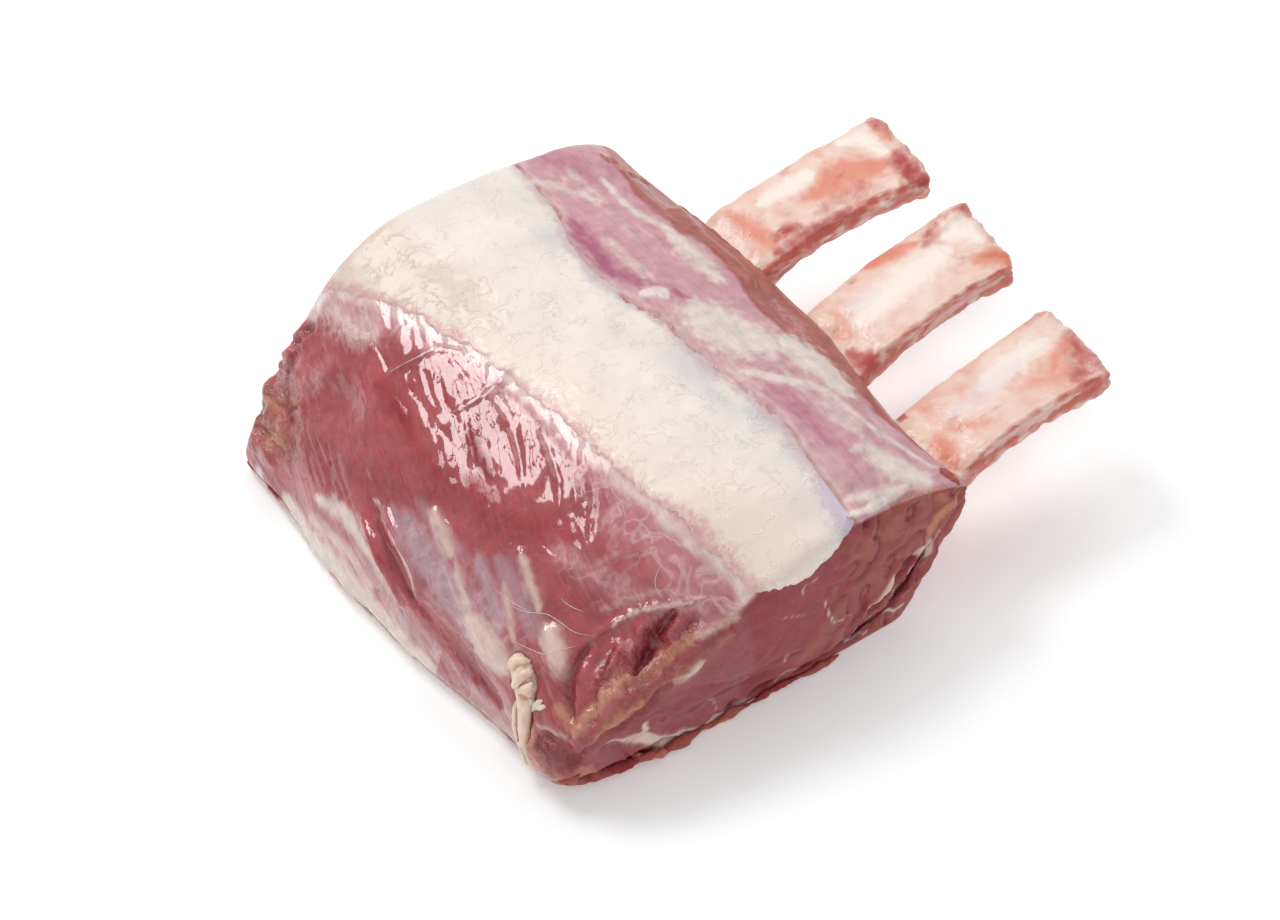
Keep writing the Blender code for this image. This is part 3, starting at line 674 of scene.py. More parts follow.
def nearness(places, line, half_width, wobble):
    """1 on the line and 0 beyond its width, narrowing to its ends, with an uneven edge."""
    result = np.zeros(len(places))
    reach = half_width * STROKE_REACH
    corners = np.array(line)
    near = np.all((places > corners.min(0) - reach) & (places < corners.max(0) + reach), axis=1)
    some = places[near]
    best = np.full(len(some), 1e9)
    for i, (start, end) in enumerate(zip(line, line[1:])):
        run = end - start
        share = np.clip(((some - start) @ run) / max(run @ run, 1e-9), 0, 1)
        width = 0.45 + 0.55 * np.sin(np.pi * (i + share) / (len(line) - 1)) ** 0.6
        best = np.minimum(best, np.linalg.norm(some - start - share[:, None] * run, axis=1) / width)
    spread = best / half_width * (1 + STROKE_WOBBLE * wobble[near])
    result[near] = np.exp(-spread ** 2 * STROKE_FALL) * (spread < STROKE_REACH)
    return result


def draw_strokes(tree, places, wobble, strokes):
    """For each stroke that meets the surface, its strength at each of the surface's points."""
    for half_width, strength, points in strokes:
        line, _ = line_on(tree, points)
        if len(line) > 1:
            yield strength * nearness(places, line, half_width, wobble)


def draw_paint(tree, places, wobble, groups):
    """For each stroke of paint, its attribute and its strength at each of the surface's points."""
    for channel, strokes in groups:
        for amount in draw_strokes(tree, places, wobble, strokes):
            yield channel, amount


def write_attribute(obj, name, values):
    """Stores one number or vector for each point of the mesh."""
    kind, key = ("FLOAT", "value") if values.ndim == 1 else ("FLOAT_VECTOR", "vector")
    made = obj.data.attributes.new(name, kind, "POINT")
    made.data.foreach_set(key, values.astype(np.float32).ravel())


def surface_tree(*objects):
    """A search tree over the faces of objects."""
    mesh = bmesh.new()
    for obj in objects:
        mesh.from_mesh(obj.data)
    tree = BVHTree.FromBMesh(mesh)
    mesh.free()
    return tree


def even_skin(obj, voxel, rounds, normal_rounds):
    """Gives a piece an even, smoothed skin of cells of this size in mm; returns its points and normals."""
    apply_modifier(obj, "REMESH", mode="VOXEL", voxel_size=voxel * MM, use_smooth_shade=True)
    places, _ = read_places(obj)
    write_places(obj, smooth_values(obj, places, rounds))
    places, normals = read_places(obj)
    if normal_rounds:
        normals = unit(smooth_values(obj, normals, normal_rounds))
    return places, normals


def finish_skin(obj, material, channels=()):
    """Stores a piece's attributes, shades it smooth and gives it its material."""
    for channel, values in dict(channels).items():
        write_attribute(obj, channel, values)
    activate(obj)
    bpy.ops.object.shade_smooth()
    obj.data.materials.append(material)
    return obj


def new_grid(columns, rows):
    """A new flat grid, with each point's share of the way across and along it."""
    deselect_all()
    bpy.ops.mesh.primitive_grid_add(x_subdivisions=columns, y_subdivisions=rows, size=1)
    places, _ = read_places(bpy.context.object)
    across, along = (places[:, :2] / GRID_SIZE + 0.5).T
    return bpy.context.object, across, along


def make_strand(tree, half_width, half_thickness, lift, points, seed):
    """A closed, ragged, flattened strand lying along a line on the rack."""
    line, outward = line_on(tree, points, past_outline=True)
    line, outward = np.array(line), unit(np.array(outward))
    obj, share, turn = new_grid(max(STRAND_STEPS, 4 * len(line)), STRAND_AROUND)
    turn = turn * 2 * np.pi
    knots = np.linspace(0, 1, len(line))

    def spread(values):
        return np.stack([np.interp(share, knots, values[:, i]) for i in range(3)], 1)

    centre = spread(line)
    up = unit(spread(outward))
    along = unit(spread(np.gradient(line, axis=0)))
    side = unit(np.cross(along, up))
    taper = np.sin(np.pi * share) ** 0.5
    rim = centre + side * np.cos(turn)[:, None] * half_width
    ragged = 1 + 0.5 * grain(rim, half_width * 1.6 + 0.3, seed, 2)
    offset = side * (np.cos(turn) * half_width * taper * ragged)[:, None]
    offset += up * (np.sin(turn) * half_thickness * taper * ragged + lift * taper)[:, None]
    write_places(obj, centre + offset)
    edit_mesh(obj, bpy.ops.mesh.remove_doubles, threshold=0.02 * MM)
    edit_mesh(obj, bpy.ops.mesh.normals_make_consistent, inside=False)
    places, _ = read_places(obj)
    write_attribute(obj, "fibre", np.stack([places[:, 0], places[:, 1] + places[:, 2], places[:, 2]], 1))
    return obj


def make_strands(name, tree, strands, material):
    """One piece of many strands, with one material."""
    made = []
    for i, (*colours, half_width, half_thickness, lift, points) in enumerate(strands):
        obj = make_strand(tree, half_width, half_thickness, lift, points, STRAND_SEED + i)
        for channel in colours:
            write_attribute(obj, channel, np.full(len(obj.data.vertices), STRAND_PAINT))
        made.append(obj)
    join(made[0], made[1:])
    made[0].name = name
    return finish_skin(made[0], material)


def add_node(tree, kind, inputs=(), **settings):
    """Adds a shader node, sets its settings, and fills or links its inputs."""
    made = tree.nodes.new("ShaderNode" + kind)
    for name, value in settings.items():
        setattr(made, name, value)
    for name, value in dict(inputs).items():
        if isinstance(value, bpy.types.NodeSocket):
            tree.links.new(value, made.inputs[name])
        else:
            made.inputs[name].default_value = value
    return made


def new_material(name, **constants):
    """A material with a Principled shader, and the shader's constant sockets set."""
    made = bpy.data.materials.new(name)
    made.use_nodes = True
    shader = made.node_tree.nodes["Principled BSDF"]
    for socket, value in constants.items():
        shader.inputs[socket.replace("_", " ")].default_value = value
    return made, made.node_tree, shader


def feed(tree, shader, **links):
    """Links outputs to the shader's sockets."""
    for socket, output in links.items():
        tree.links.new(output, shader.inputs[socket.replace("_", " ")])


def noise_tone(tree, place, scale, detail, low=0.0, high=1.0):
    """A soft noise, and the same noise spread from low to high."""
    noise = add_node(tree, "TexNoise", {"Vector": place, "Scale": scale, "Detail": detail}).outputs["Fac"]
    spread = {"Value": noise, "From Min": NOISE_LOW, "From Max": NOISE_HIGH, "To Min": low, "To Max": high}
    return noise, add_node(tree, "MapRange", spread).outputs[0]


def noise_lines(tree, place, scale, detail, twist, distances, values):
    """Thin curled lines where a noise passes its middle, with these values at these distances from it."""
    look = {"Vector": place, "Scale": scale, "Detail": detail, "Distortion": twist}
    noise = add_node(tree, "TexNoise", look).outputs["Fac"]
    level = add_node(tree, "Math", {0: noise, 1: 0.5}, operation="SUBTRACT").outputs[0]
    steep = add_node(tree, "Math", {0: level}, operation="ABSOLUTE").outputs[0]
    (near, far), (low, high) = distances, values
    line = {"Value": steep, "From Min": near, "From Max": far, "To Min": low, "To Max": high}
    return add_node(tree, "MapRange", line).outputs[0]


def mix_layers(tree, base, layers):
    """Lays colours over a base where their attributes say, each with a broken edge."""
    position = add_node(tree, "TexCoord").outputs["Object"]
    fibre = add_node(tree, "Attribute", attribute_name="fibre").outputs["Vector"]
    for mask, colour, size, edge, low, high in layers:
        along_fibre = isinstance(size, tuple)
        scale = tuple(1 / part for part in size) if along_fibre else (1 / size / MM,) * 3
        place = add_node(tree, "Mapping", {"Vector": fibre if along_fibre else position, "Scale": scale})
        noise = add_node(tree, "TexNoise", {"Vector": place.outputs[0], "Scale": 1.0, "Detail": 5.0})
        amount = add_node(tree, "Attribute", attribute_name=mask).outputs["Fac"]
        broken = {0: noise.outputs["Fac"], 1: edge, 2: amount}
        uneven = add_node(tree, "Math", broken, operation="MULTIPLY_ADD").outputs[0]
        limits = {"Value": uneven, "From Min": low + edge / 2, "From Max": high + edge / 2}
        share = add_node(tree, "MapRange", limits, interpolation_type="SMOOTHSTEP").outputs[0]
        mixed = {0: share, 6: base, 7: (*rgb(colour), 1)}
        base = add_node(tree, "Mix", mixed, data_type="RGBA").outputs[2]
    return base


def cloudy_colour(tree, position, first, second, size):
    """Two colours in soft clouds of this size in mm, and the clouds' noise."""
    cloud, share = noise_tone(tree, position, 1 / size / MM, 6.0)
    mixed = {0: share, 6: (*first, 1), 7: (*second, 1)}
    return add_node(tree, "Mix", mixed, data_type="RGBA").outputs[2], cloud


def meat_material(name, colours):
    """Raw veal muscle under a wet film: dark and light fibres, membranes, fat, dried edges, and painted shade
    in its grooves and hollows.
    """
    made, tree, shader = new_material(
        name, Subsurface_Weight=0.2, Subsurface_Scale=SCATTER, Subsurface_Radius=(1.0, 0.35, 0.25), IOR=1.42,
        Coat_Roughness=0.07, Coat_IOR=1.62, Specular_IOR_Level=0.25,
    )
    position = add_node(tree, "TexCoord").outputs["Object"]
    fibre = add_node(tree, "Attribute", attribute_name="fibre").outputs["Vector"]
    red, cloud = cloudy_colour(tree, position, colours.muscle_dark, colours.muscle, 16)
    base = mix_layers(tree, red, MEAT_LAYERS)
    film = add_node(tree, "Attribute", attribute_name="film").outputs["Fac"]
    net = noise_lines(tree, position, 90.0, 5.0, 0.6, (0.0, 0.045), (0.45, 0.0))
    filaments = add_node(tree, "Math", {0: net, 1: film}, operation="MULTIPLY").outputs[0]
    netted = {0: filaments, 6: base, 7: (*rgb(FILAMENT_COLOUR), 1)}
    base = add_node(tree, "Mix", netted, data_type="RGBA").outputs[2]
    streaks = add_node(tree, "Mapping", {"Vector": fibre, "Scale": (1.4, 0.12, 1.0)}).outputs[0]
    threads, thread_tone = noise_tone(tree, streaks, 1.0, 5.0, 0.93, 1.06)
    mottle, mottle_tone = noise_tone(tree, position, 260.0, 6.0, 0.86, 1.12)
    tone = add_node(tree, "Math", {0: thread_tone, 1: mottle_tone}, operation="MULTIPLY").outputs[0]
    base = add_node(tree, "VectorMath", {0: base, "Scale": tone}, operation="SCALE").outputs[0]
    wet = add_node(tree, "Attribute", attribute_name="wet").outputs["Fac"]
    scratches = add_node(tree, "Mapping", {"Vector": fibre, "Scale": (0.22, 0.05, 1.0)}).outputs[0]
    unbroken = noise_lines(tree, scratches, 1.0, 4.0, 0.4, (0.004, 0.014), (0.0, 1.0))
    moisture = add_node(tree, "Math", {0: unbroken, 1: wet}, operation="MULTIPLY").outputs[0]
    uneven = {"Value": cloud, "From Min": NOISE_LOW, "From Max": NOISE_HIGH, "To Min": 0.42, "To Max": 0.58}
    rough = add_node(tree, "MapRange", uneven).outputs[0]
    fine = add_node(tree, "TexNoise", {"Vector": position, "Scale": 900.0, "Detail": 3.0}).outputs["Fac"]
    relief = add_node(tree, "Math", {0: threads, 1: fine}, operation="ADD").outputs[0]
    torn = add_node(tree, "Attribute", attribute_name="torn").outputs["Fac"]
    rippled = {"Height": mottle, "Strength": torn, "Distance": 2.4 * MM}
    ripples = add_node(tree, "Bump", rippled).outputs[0]
    grained = {"Height": relief, "Strength": 0.3, "Distance": 0.3 * MM, "Normal": ripples}
    skin = add_node(tree, "Bump", grained).outputs[0]
    feed(tree, shader, Base_Color=base, Roughness=rough, Normal=skin)
    feed(tree, shader, Coat_Weight=moisture, Coat_Normal=ripples)
    return made


def region_masks(places, normals):
    """The large regions of the meat's surface, from 0 to 1, and the direction of its fibres."""
    out, along, up = places.T
    uneven = grain(places, 7, 11, 3) * 2.5
    chine_border = curve_through(BAND_CHINE, along) + uneven
    rib_border = curve_through(BAND_RIBS, along) + uneven
    top = ease(0.1, 0.45, normals[:, 2])
    near_cut = ease(0.55, 0.85, -normals[:, 1]) * ease(*NEAR_CUT, along)
    far_cut = ease(0.55, 0.85, normals[:, 1]) * ease(*FAR_CUT, along)
    cut = np.maximum(near_cut, far_cut)
    whole = 1 - cut
    ribs_side = ease(-2, 3, out - rib_border)
    rim = ease(-5, 4, out - curve_through(RIM_LINE, along) + uneven * 0.8)
    chine = ease(2, -3, out - chine_border)
    slope = up + 0.75 * out
    flow = np.stack([0.9 * slope - 0.45 * along, -0.9 * along - 0.45 * slope, up * 0], 1)
    side_flow = np.stack([out, along, up * 0], 1)
    end_grain = np.stack([0.45 * out, 5 * up, along], 1)
    flow = np.where((ribs_side > 0.5)[:, None], side_flow, flow)
    flow = np.where((cut > 0.5)[:, None], end_grain, flow)
    film_width = 5 + 11 * ease(-10, -75, along)
    film = bell(out - chine_border + 4, film_width)
    haze = bell(out - chine_border + 1, 3.2) * 0.8 + bell(out - rib_border, 4.0) * 0.55
    patchy = ease(0.05, 0.5, grain(side_flow, (9, 26, 1), 13, 3))
    blush = ease(0.0, 0.5, grain(side_flow, (8, 22, 1), 15, 3))
    low = ease(30, 8, up + 0.12 * along + 12 * ease(20, 70, along) + uneven)
    low = low * ease(0.3, 0.7, -normals[:, 0]) * whole * ease(-94, -76, along)
    return {
        "pink": ribs_side * (1 - rim) * whole,
        "rim": ribs_side * rim * whole,
        "cut": cut,
        "magenta": ribs_side * (1 - rim) * whole * blush * 0.55,
        "film": whole * np.maximum(chine * (0.05 + 0.4 * grain(places, 22, 17, 2)), film),
        "white": haze * top * whole + low * 0.45,
        "veil": ribs_side * (1 - rim) * whole * patchy * 0.6,
        "lavender": low * 0.4,
        "brown": near_cut * ease(-40, 10, out + uneven) * 0.55,
        "flow": flow,
        "chine": chine,
    }


def relief_of_muscle(places, masks):
    """Height in mm of the muscle's lumps, wrinkles and grain."""
    flow = masks["flow"]
    whole = 1 - masks["cut"]
    height = 0.8 * grain(places, 19, 3) + 0.3 * grain(places, 7, 4, 2)
    height -= 0.32 * crease(flow, (4, 30, 1), 8, 0.14) * masks["chine"] * whole
    height += 0.08 * grain(flow, (1.8, 12, 1), 9, 2) * whole
    height += 0.16 * grain(places, 1.9, 10, 2) * masks["cut"]
    height -= 2.4 * crease(places, 9, 18, 0.3) * masks["brown"]
    height -= 0.35 * crease(places, 20, 19, 0.1) * masks["cut"]
    return height * ease(0.5, 6, places[:, 2])


def make_meat(name, node, filled, colours):
    """One piece of meat: an even skin over its solid, with relief and colour masks."""
    obj = solid_copy(name, node)
    soften(obj, 2)
    if filled:
        ribs = [solid_copy(f"filler_{i}", f"rib_bone_{i}") for i in (1, 2, 3)]
        across = {"plane_co": (FILLER_OUT * MM, 0, 0), "plane_no": (1, 0, 0)}
        for rib in ribs:
            edit_mesh(rib, bpy.ops.mesh.bisect, clear_outer=True, use_fill=True, **across)
        join(obj, ribs)
    places, normals = even_skin(obj, *MEAT_SKIN)
    masks = region_masks(places, normals)
    tree = surface_tree(obj)
    wobble = grain(places, 2.2, 21, 3)
    height = relief_of_muscle(places, masks)
    for rise in draw_strokes(tree, places, wobble, MEAT_RELIEF):
        height += rise
    names = [layer[0] for layer in MEAT_LAYERS] + ["torn", "dry"]
    channels = {channel: masks.get(channel, np.zeros(len(places))) for channel in names}
    for channel, amount in draw_paint(tree, places, wobble, MEAT_PAINT):
        if channel == "bare":
            for cover in COVERS:
                channels[cover] = channels[cover] * (1 - np.minimum(amount, 1))
        else:
            channels[channel] = np.maximum(channels[channel], amount)
    torn = channels["torn"]
    rags = grain(places, 4.5, 91, 3)
    height += torn * (2.2 * rags + 1.1 * grain(places, 2.4, 92, 2)) * ease(0.5, 4, places[:, 2])
    channels["orange"] = np.maximum(channels["orange"], 0.7 * torn * ease(0.1, 0.6, rags))
    # Painted shade: the deep red colour is laid in torn hollows, in deep relief and in the creases of the
    # sawn face.
    shaded_hollows = (
        0.7 * torn * ease(-0.1, -0.6, rags),
        ease(-1.2, -2.6, height) * 0.7,
        1.8 * crease(places, 9, 18, 0.24) * masks["brown"],
    )
    for hollow in shaded_hollows:
        channels["dark"] = np.maximum(channels["dark"], hollow)
    wet = np.clip(0.35 + 0.65 * masks["chine"] - 0.6 * masks["cut"], 0.08, 1)
    wet *= 1 - np.minimum(channels.pop("dry"), 1) * masks["chine"]
    channels["wet"] = np.maximum(wet, 0.4 * torn)
    channels["fibre"] = masks["flow"]
    write_places(obj, places + normals * height[:, None])
    return finish_skin(obj, meat_material(name + "_veal", colours), channels)


def flat_grain(places, size, seed, octaves):
    """Grain that hardly changes with height."""
    return grain(places, (size, size, SHEET_LEVEL), seed, octaves)


def drop_sheet(tree, laid):
    """Lays the sheet's points on the loin, turned down over the near cut; returns the normals there."""
    normals = np.zeros_like(laid)
    down = Vector((0, 0, -1))
    for i, (x, y, _) in enumerate(laid):
        hit, normal, _, _ = tree.ray_cast(Vector((x, max(y, TURN_AT), SHEET_DROP)) * MM, down)
        if hit is None:
            hit, normal, _, _ = tree.find_nearest(Vector((x, y, SHEET_LEVEL)) * MM)
        if y < TURN_AT:
            turn = (TURN_AT - y) / TURN_RADIUS
            aim = Vector((0, math.sin(turn), -math.cos(turn)))
            centre = hit + down * TURN_RADIUS * MM
            hit, normal, _, _ = tree.ray_cast(centre - aim * TURN_REACH * MM, aim)
        laid[i] = np.array(hit) / MM
        normals[i] = normal
    return normals


def make_silverskin(loin, colours):
    """The white membrane: a sheet laid over the loin that dips under the muscle at its frayed borders."""
    obj, across, along = new_grid(SHEET_COLUMNS, SHEET_ROWS)
    obj.name = "silverskin_sheet"
    along = SHEET_NEAR + (SHEET_FAR - SHEET_NEAR) * along
    low = curve_through(BAND_CHINE, along) - SHEET_MARGIN
    high = curve_through(BAND_RIBS, along) + SHEET_MARGIN
    out = low + (high - low) * across
    laid = np.stack([out, along, out * 0], 1)
    normals = drop_sheet(surface_tree(loin), laid)
    normals = unit(smooth_values(obj, normals, SHEET_NORMAL_ROUNDS))
    laid[:, 2] = smooth_values(obj, laid[:, 2:3], SHEET_HEIGHT_ROUNDS)[:, 0]
    frayed = 2.4 * flat_grain(laid, 6, 31, 3) + 1.3 * flat_grain(laid, 1.4, 32, 2)
    chine_edge = out - curve_through(BAND_CHINE, along) + frayed
    ragged = 0.25 + 1.5 * ease(-70, -45, along) * ease(40, 10, along)
    rib_edge = curve_through(BAND_RIBS, along) - out + frayed * ragged
    near_edge = along - SHEET_NEAR - 12 + 11 * np.sin(np.pi * across) ** 2 + 0.6 * frayed
    far_edge = np.minimum(SHEET_FAR - along, 14 * (0.7 - normals[:, 1])) + 0.6 * frayed
    inside = np.minimum(np.minimum(chine_edge, rib_edge), np.minimum(near_edge + 1, far_edge + 1))
    rise = SHEET_RISE * ease(-0.2, 3.5, inside) - SHEET_SINK * ease(0.5, -2.5, inside)
    curls = crease(laid + 0.8 * frayed[:, None], (3.4, 3.4, SHEET_LEVEL), 33, 0.22)
    swells = 0.08 * curls * ease(0.9, 0.3, across) + 0.25 * flat_grain(laid, 9, 34, 2)
    rise += swells * ease(0, 3, inside)
    bead = np.clip(1 - chine_edge / 9, 0, 1) * ease(-1, 1, chine_edge)
    rise += 0.5 * bead * np.clip(flat_grain(laid, 2.4, 35, 2) + 0.1, 0, 1)
    write_places(obj, laid + normals * rise[:, None])
    apply_modifier(obj, "SOLIDIFY", thickness=SHEET_THICK * MM, offset=-1.0)
    return finish_skin(obj, silverskin_material(colours), sheet_masks(obj))


def sheet_masks(obj):
    """The regions of the silverskin's surface, from 0 to 1."""
    places, _ = read_places(obj)
    out, along, _ = places.T
    from_chine = out - curve_through(BAND_CHINE, along)
    from_ribs = curve_through(BAND_RIBS, along) - out
    share = from_chine / (from_chine + from_ribs)
    patchy = flat_grain(places, 16, 41, 2)
    fine = flat_grain(places, 3, 43, 3)
    near_end = 0.4 * ease(-20, -80, along)
    pink_width = 7.5 + 7 * ease(-40, -75, along)
    corner = np.hypot(out - 2, (along + 88) * 0.8)
    return {
        "cool": ease(0.4, 0.85, share + 0.2 * patchy) * ease(0.9, 0.2, 0.6 + 0.5 * patchy),
        "warm": ease(0.6, 0.05, share + 0.25 * patchy - near_end),
        # Painted shade: the far half of the membrane on the chine side is dulled.
        "slope": ease(0.55, 0.2, share + 0.1 * patchy) * ease(10, 60, along),
        "chine_edge": ease(pink_width, 0.0, from_chine + 2.5 * fine + 1.5 * patchy),
        "rib_edge": ease(9.0, 0.0, from_ribs + 2.0 * fine + 2.0 * patchy),
        "corner": ease(20, 6, corner + 3 * fine),
    }


def silverskin_material(colours):
    """Silverskin: a tough white membrane, moist, with short curled fibres that glint."""
    made, tree, shader = new_material(
        "silverskin_membrane", Subsurface_Weight=0.3, Subsurface_Scale=SCATTER,
        Subsurface_Radius=(1.0, 0.7, 0.55), IOR=1.42, Coat_Weight=0.4, Coat_Roughness=0.2, Roughness=0.45,
    )
    position = add_node(tree, "TexCoord").outputs["Object"]
    base, _ = cloudy_colour(tree, position, rgb(SILVERSKIN_DULL), colours.silverskin, 14)
    base = mix_layers(tree, base, SILVERSKIN_LAYERS)
    curls = noise_lines(tree, position, 210.0, 3.0, 1.2, (0.0, 0.035), (1.0, 0.0))
    patches = add_node(tree, "TexNoise", {"Vector": position, "Scale": 160.0, "Detail": 2.0})
    some = add_node(tree, "MapRange", {"Value": patches.outputs["Fac"], "From Min": 0.42, "From Max": 0.6})
    fibres = add_node(tree, "Math", {0: curls, 1: some.outputs[0]}, operation="MULTIPLY").outputs[0]
    bright = add_node(tree, "MapRange", {"Value": fibres, "To Min": 0.985, "To Max": 1.09}).outputs[0]
    base = add_node(tree, "VectorMath", {0: base, "Scale": bright}, operation="SCALE").outputs[0]
    bump = add_node(tree, "Bump", {"Height": fibres, "Strength": 0.6, "Distance": 0.3 * MM}).outputs[0]
    feed(tree, shader, Base_Color=base, Normal=bump, Coat_Normal=bump)
    return made


def make_bone(number, material):
    """One frenched rib: scraped bone with scraps of red tissue, and a spongy sawn tip."""
    obj = solid_copy(f"scraped_rib_{number}", f"rib_bone_{number}")
    soften(obj, 2)
    places, normals = even_skin(obj, *BONE_SKIN)
    out = places[:, 0]
    tip = ease(out.max() - 14, out.max() - 1, out)
    tree = surface_tree(obj)
    wobble = grain(places, 2.0, 50 + number, 3)
    flank = np.clip(ease(0.1, 0.75, -normals[:, 1]) + 0.8 * ease(0.1, 0.8, -normals[:, 2]), 0, 1)
    far_flank = ease(0.3, 0.9, normals[:, 1])
    height = 0.7 * grain(places, 9, 52 + number, 2) + 0.25 * grain(places, 2.6, 56, 2)
    rugged = grain(places, (5, 2.8, 2.8), 60 + number, 3)
    height += (1.3 * tip + 1.0 * flank + 0.4 * far_flank) * rugged
    height *= ease(25, 45, out)
    for rise in draw_strokes(tree, places, wobble, BONE_RELIEF):
        height += rise
    channels = {layer[0]: np.zeros(len(places)) for layer in BONE_LAYERS}
    channels["side"] = np.clip(flank * (0.75 - 0.9 * rugged) + 0.35 * far_flank, 0, 1)
    channels["marrow"] = ease(0.5, 0.9, normals[:, 0])
    channels["red"] = 0.8 * ease(0.15, 0.7, grain(places, 11, 70 + number, 2) + 0.5 * tip)
    channels["orange"] = 0.7 * ease(0.0, 0.6, grain(places, 13, 73 + number, 2))
    for channel, amount in draw_paint(tree, places, wobble, BONE_PAINT):
        if channel in ("pale", "gristle"):
            for covered in ("red", "orange"):
                channels[covered] *= 1 - np.minimum(amount, 1)
        channels[channel] = np.maximum(channels[channel], amount)
    channels["fibre"] = np.stack([places[:, 1] + places[:, 2], out, out * 0], 1)
    write_places(obj, places + normals * height[:, None])
    return finish_skin(obj, material, channels)


def bone_material(colours):
    """Fresh scraped bone: cream under a moist film, with pink and red tissue left on it."""
    made, tree, shader = new_material(
        "scraped_bone", Subsurface_Weight=0.2, Subsurface_Scale=SCATTER, Subsurface_Radius=(1.0, 0.5, 0.35),
        IOR=1.45, Coat_Weight=0.6, Coat_Roughness=0.12, Roughness=0.42,
    )
    position = add_node(tree, "TexCoord").outputs["Object"]
    base, _ = cloudy_colour(tree, position, rgb(BONE_DULL), colours.bone, 8)
    fine = add_node(tree, "TexNoise", {"Vector": position, "Scale": 700.0, "Detail": 4.0}).outputs["Fac"]
    bump = add_node(tree, "Bump", {"Height": fine, "Strength": 0.5, "Distance": 0.5 * MM}).outputs[0]
    base = mix_layers(tree, base, BONE_LAYERS)
    feed(tree, shader, Base_Color=base, Normal=bump, Coat_Normal=bump)
    return made


def ligament_material(colours):
    """Ligament: cream collagen, moist, pinker in its hollows."""
    made, tree, shader = new_material(
        "ligament_collagen", Subsurface_Weight=0.3, Subsurface_Scale=SCATTER, IOR=1.42, Coat_Weight=0.3,
        Coat_Roughness=0.25, Roughness=0.4,
    )
    position = add_node(tree, "TexCoord").outputs["Object"]
    base, _ = cloudy_colour(tree, position, rgb(LIGAMENT_DULL), colours.ligament, 3)
    feed(tree, shader, Base_Color=mix_layers(tree, base, LIGAMENT_LAYERS))
    return made


def make_ligament(material):
    """The cream ligament: twisted strands with knots at its upper end."""
    obj = solid_copy("ligament_cord", "ligament")
    soften(obj, 1)
    places, normals = even_skin(obj, *LIGAMENT_SKIN)
    knots = ease(26, 31, places[:, 2])
    height = knots * (1.5 * grain(places, 4.2, 81, 2) + 0.5 * grain(places, 1.5, 82, 2))
    height += (1 - knots) * 0.4 * grain(places, (1.3, 1.3, 9), 83, 2)
    write_places(obj, places + normals * height[:, None])
    return finish_skin(obj, material, {"hollow": ease(0.2, -0.6, height) * (0.4 + 0.6 * knots)})


def hand_over(piece, slot, *nodes):
    """Hangs the piece on the root body and hides the solids that it stands for; the slot is not used."""
    if nodes:
        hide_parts(*nodes)
    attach(piece, "root")


def colour_setting(name, description, code):
    """A colour in the panel."""
    return bpy.props.FloatVectorProperty(
        name=name, description=description, subtype="COLOR", default=rgb(code))


class RackColours(bpy.types.PropertyGroup):
    """Colours of the rack's flesh, membranes and bones."""

    muscle: colour_setting("Muscle", "Wet red muscle on the chine side", "#B04D52")
    muscle_dark: colour_setting("Deep muscle", "The darker parts of the muscle", "#98383C")
    silverskin: colour_setting("Silverskin", "The white membrane over the loin", "#F0E6DC")
    ligament: colour_setting("Ligament", "The cream cord at the chine corner", "#F0DCCB")
    bone: colour_setting("Bone", "Scraped bone", "#EBD3C7")


class StageSettings(bpy.types.PropertyGroup):
    """The floor and the lights."""

    floor: colour_setting("Floor", "The pale floor under the rack", "#F4F7F7")
    floor_glow: bpy.props.FloatProperty(
        name="Floor glow", description="Light that comes through the white table", default=0.22, min=0.0)
    key_power: bpy.props.FloatProperty(
        name="Key light", description="Power of the key softbox", default=6.7, min=0.0, unit="POWER")
    ambient: bpy.props.FloatProperty(
        name="Ambient", description="Strength of the white surroundings", default=0.58, min=0.0)


class RACK_OT_loin(bpy.types.Operator):
    """Models the loin over its solid."""

    bl_idname = "rack.loin"
    bl_label = "Loin"

    def execute(self, context):
        meat = make_meat("loin_muscle", "loin", True, context.scene.rack_colours)
        hand_over(meat, "loin_meat", "loin")
        return {"FINISHED"}


class RACK_OT_rib_meat(bpy.types.Operator):
    """Models the bed of rib meat over its solid."""

    bl_idname = "rack.rib_meat"
    bl_label = "Rib meat"

    def execute(self, context):
        meat = make_meat("rib_meat", "rib_bed", False, context.scene.rack_colours)
        hand_over(meat, "rib_meat", "rib_bed")
        return {"FINISHED"}


class RACK_OT_silverskin(bpy.types.Operator):
    """Lays the silverskin over the loin, with its loose fibres."""

    bl_idname = "rack.silverskin"
    bl_label = "Silverskin"

    def execute(self, context):
        loin = bpy.data.objects["loin_muscle"]
        sheet = make_silverskin(loin, context.scene.rack_colours)
        hand_over(sheet, "silverskin", "silverskin")
        tree = surface_tree(loin, sheet, bpy.data.objects["rib_meat"])
        material = sheet.data.materials[0]
        hand_over(make_strands("membrane_fibres", tree, FILM_HAIRS, material), "silverskin")
        return {"FINISHED"}


class RACK_OT_ligament(bpy.types.Operator):
    """Models the ligament over its solid."""

    bl_idname = "rack.ligament"
    bl_label = "Ligament"

    def execute(self, context):
        material = ligament_material(context.scene.rack_colours)
        cord = make_ligament(material)
        hand_over(cord, "ligament", "ligament")
        tree = surface_tree(cord, bpy.data.objects["loin_muscle"])
        hand_over(make_strands("ligament_knots", tree, LIGAMENT_STRANDS, material), "ligament")
        return {"FINISHED"}


class RACK_OT_bones(bpy.types.Operator):
    """Models the frenched ribs over their solids."""

    bl_idname = "rack.bones"
    bl_label = "Rib bones"

    def execute(self, context):
        material = bone_material(context.scene.rack_colours)
        for number in (1, 2, 3):
            hand_over(make_bone(number, material), "bone", f"rib_bone_{number}")
        return {"FINISHED"}


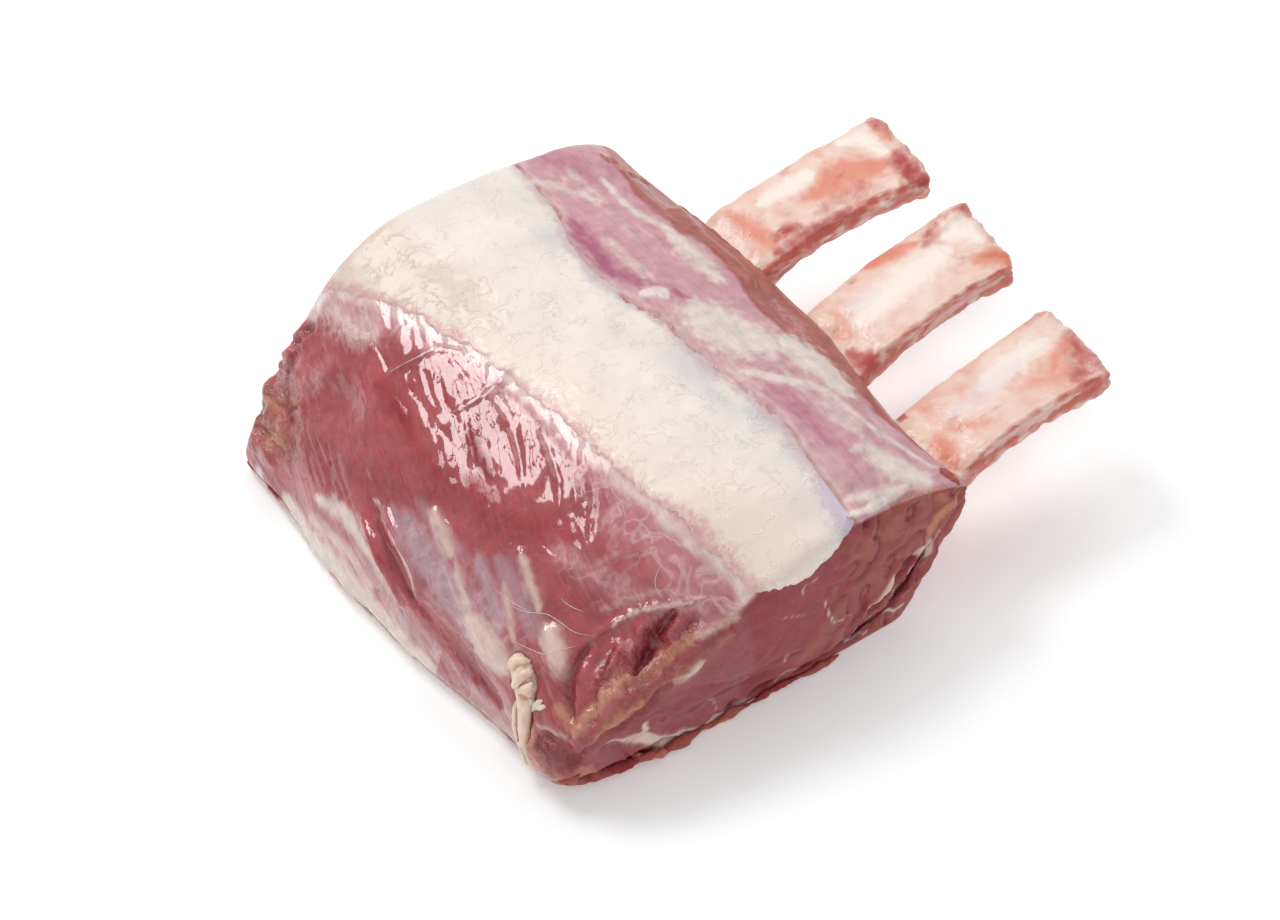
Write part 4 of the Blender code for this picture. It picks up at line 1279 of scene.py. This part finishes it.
class RACK_OT_scraps(bpy.types.Operator):
    """Adds the ragged edges and flaps of meat."""

    bl_idname = "rack.scraps"
    bl_label = "Meat scraps"

    def execute(self, context):
        loin = bpy.data.objects["loin_muscle"]
        bones = [bpy.data.objects[f"scraped_rib_{number}"] for number in (1, 2, 3)]
        tree = surface_tree(loin, bpy.data.objects["rib_meat"], *bones)
        hand_over(make_strands("meat_scraps", tree, MEAT_SCRAPS, loin.data.materials[0]), "loin_meat")
        return {"FINISHED"}


class RACK_OT_stage(bpy.types.Operator):
    """Lays the pale floor and sets the lights and the camera."""

    bl_idname = "rack.stage"
    bl_label = "Stage"

    def execute(self, context):
        settings = context.scene.rack_stage
        deselect_all()
        bpy.ops.mesh.primitive_plane_add(size=FLOOR_SIZE)
        floor = context.object
        floor.name = "floor"
        white = (*settings.floor, 1)
        table, _, _ = new_material(
            "white_table", Base_Color=white, Roughness=0.9, Emission_Color=white,
            Emission_Strength=settings.floor_glow,
        )
        floor.data.materials.append(table)
        for name, power, size, direction, distance in LIGHTS:
            bpy.ops.object.light_add(type="AREA")
            light = context.object
            light.name = name
            light.data.shape = "RECTANGLE"
            light.data.size, light.data.size_y = size
            light.data.energy = power * settings.key_power
            place = CAMERA_AIM + Vector(direction).normalized() * distance
            light.location = place
            light.rotation_euler = (CAMERA_AIM - place).to_track_quat("-Z", "Y").to_euler()
        world = bpy.data.worlds.new("studio")
        world.use_nodes = True
        background = world.node_tree.nodes["Background"]
        background.inputs["Color"].default_value = (1, 1, 1, 1)
        background.inputs["Strength"].default_value = settings.ambient
        context.scene.world = world
        context.scene.view_settings.view_transform = "Standard"
        place, direction = sight_line(PHOTO_WIDTH / 2, PHOTO_HEIGHT / 2)
        bpy.ops.object.camera_add(location=place)
        camera = context.object
        camera.rotation_euler = direction.to_track_quat("-Z", "Y").to_euler()
        camera.data.sensor_width = SENSOR_WIDTH
        camera.data.lens = FOCAL_LENGTH
        context.scene.camera = camera
        return {"FINISHED"}


OPERATORS = (
    RACK_OT_loin, RACK_OT_rib_meat, RACK_OT_silverskin, RACK_OT_ligament, RACK_OT_bones, RACK_OT_scraps,
    RACK_OT_stage,
)


class RACK_PT_panel(bpy.types.Panel):
    """Lists the rack's pieces and settings."""

    bl_idname = "RACK_PT_panel"
    bl_label = "Frenched rack"
    bl_space_type = "VIEW_3D"
    bl_region_type = "UI"
    bl_category = "Rack"

    def draw(self, context):
        for settings in (context.scene.rack_colours, context.scene.rack_stage):
            for name in settings.bl_rna.properties.keys():
                if name not in ("rna_type", "name"):
                    self.layout.prop(settings, name)
        for operator in OPERATORS:
            self.layout.operator(operator.bl_idname)


CLASSES = (RackColours, StageSettings, *OPERATORS, RACK_PT_panel)


def register():
    for group in CLASSES:
        bpy.utils.register_class(group)
    bpy.types.Scene.rack_colours = bpy.props.PointerProperty(type=RackColours)
    bpy.types.Scene.rack_stage = bpy.props.PointerProperty(type=StageSettings)


def unregister():
    del bpy.types.Scene.rack_stage
    del bpy.types.Scene.rack_colours
    for group in reversed(CLASSES):
        bpy.utils.unregister_class(group)


def main():
    register()
    bpy.ops.rack.loin()
    bpy.ops.rack.rib_meat()
    bpy.ops.rack.silverskin()
    bpy.ops.rack.ligament()
    bpy.ops.rack.bones()
    bpy.ops.rack.scraps()
    bpy.ops.rack.stage()


if __name__ == "__main__":
    main()
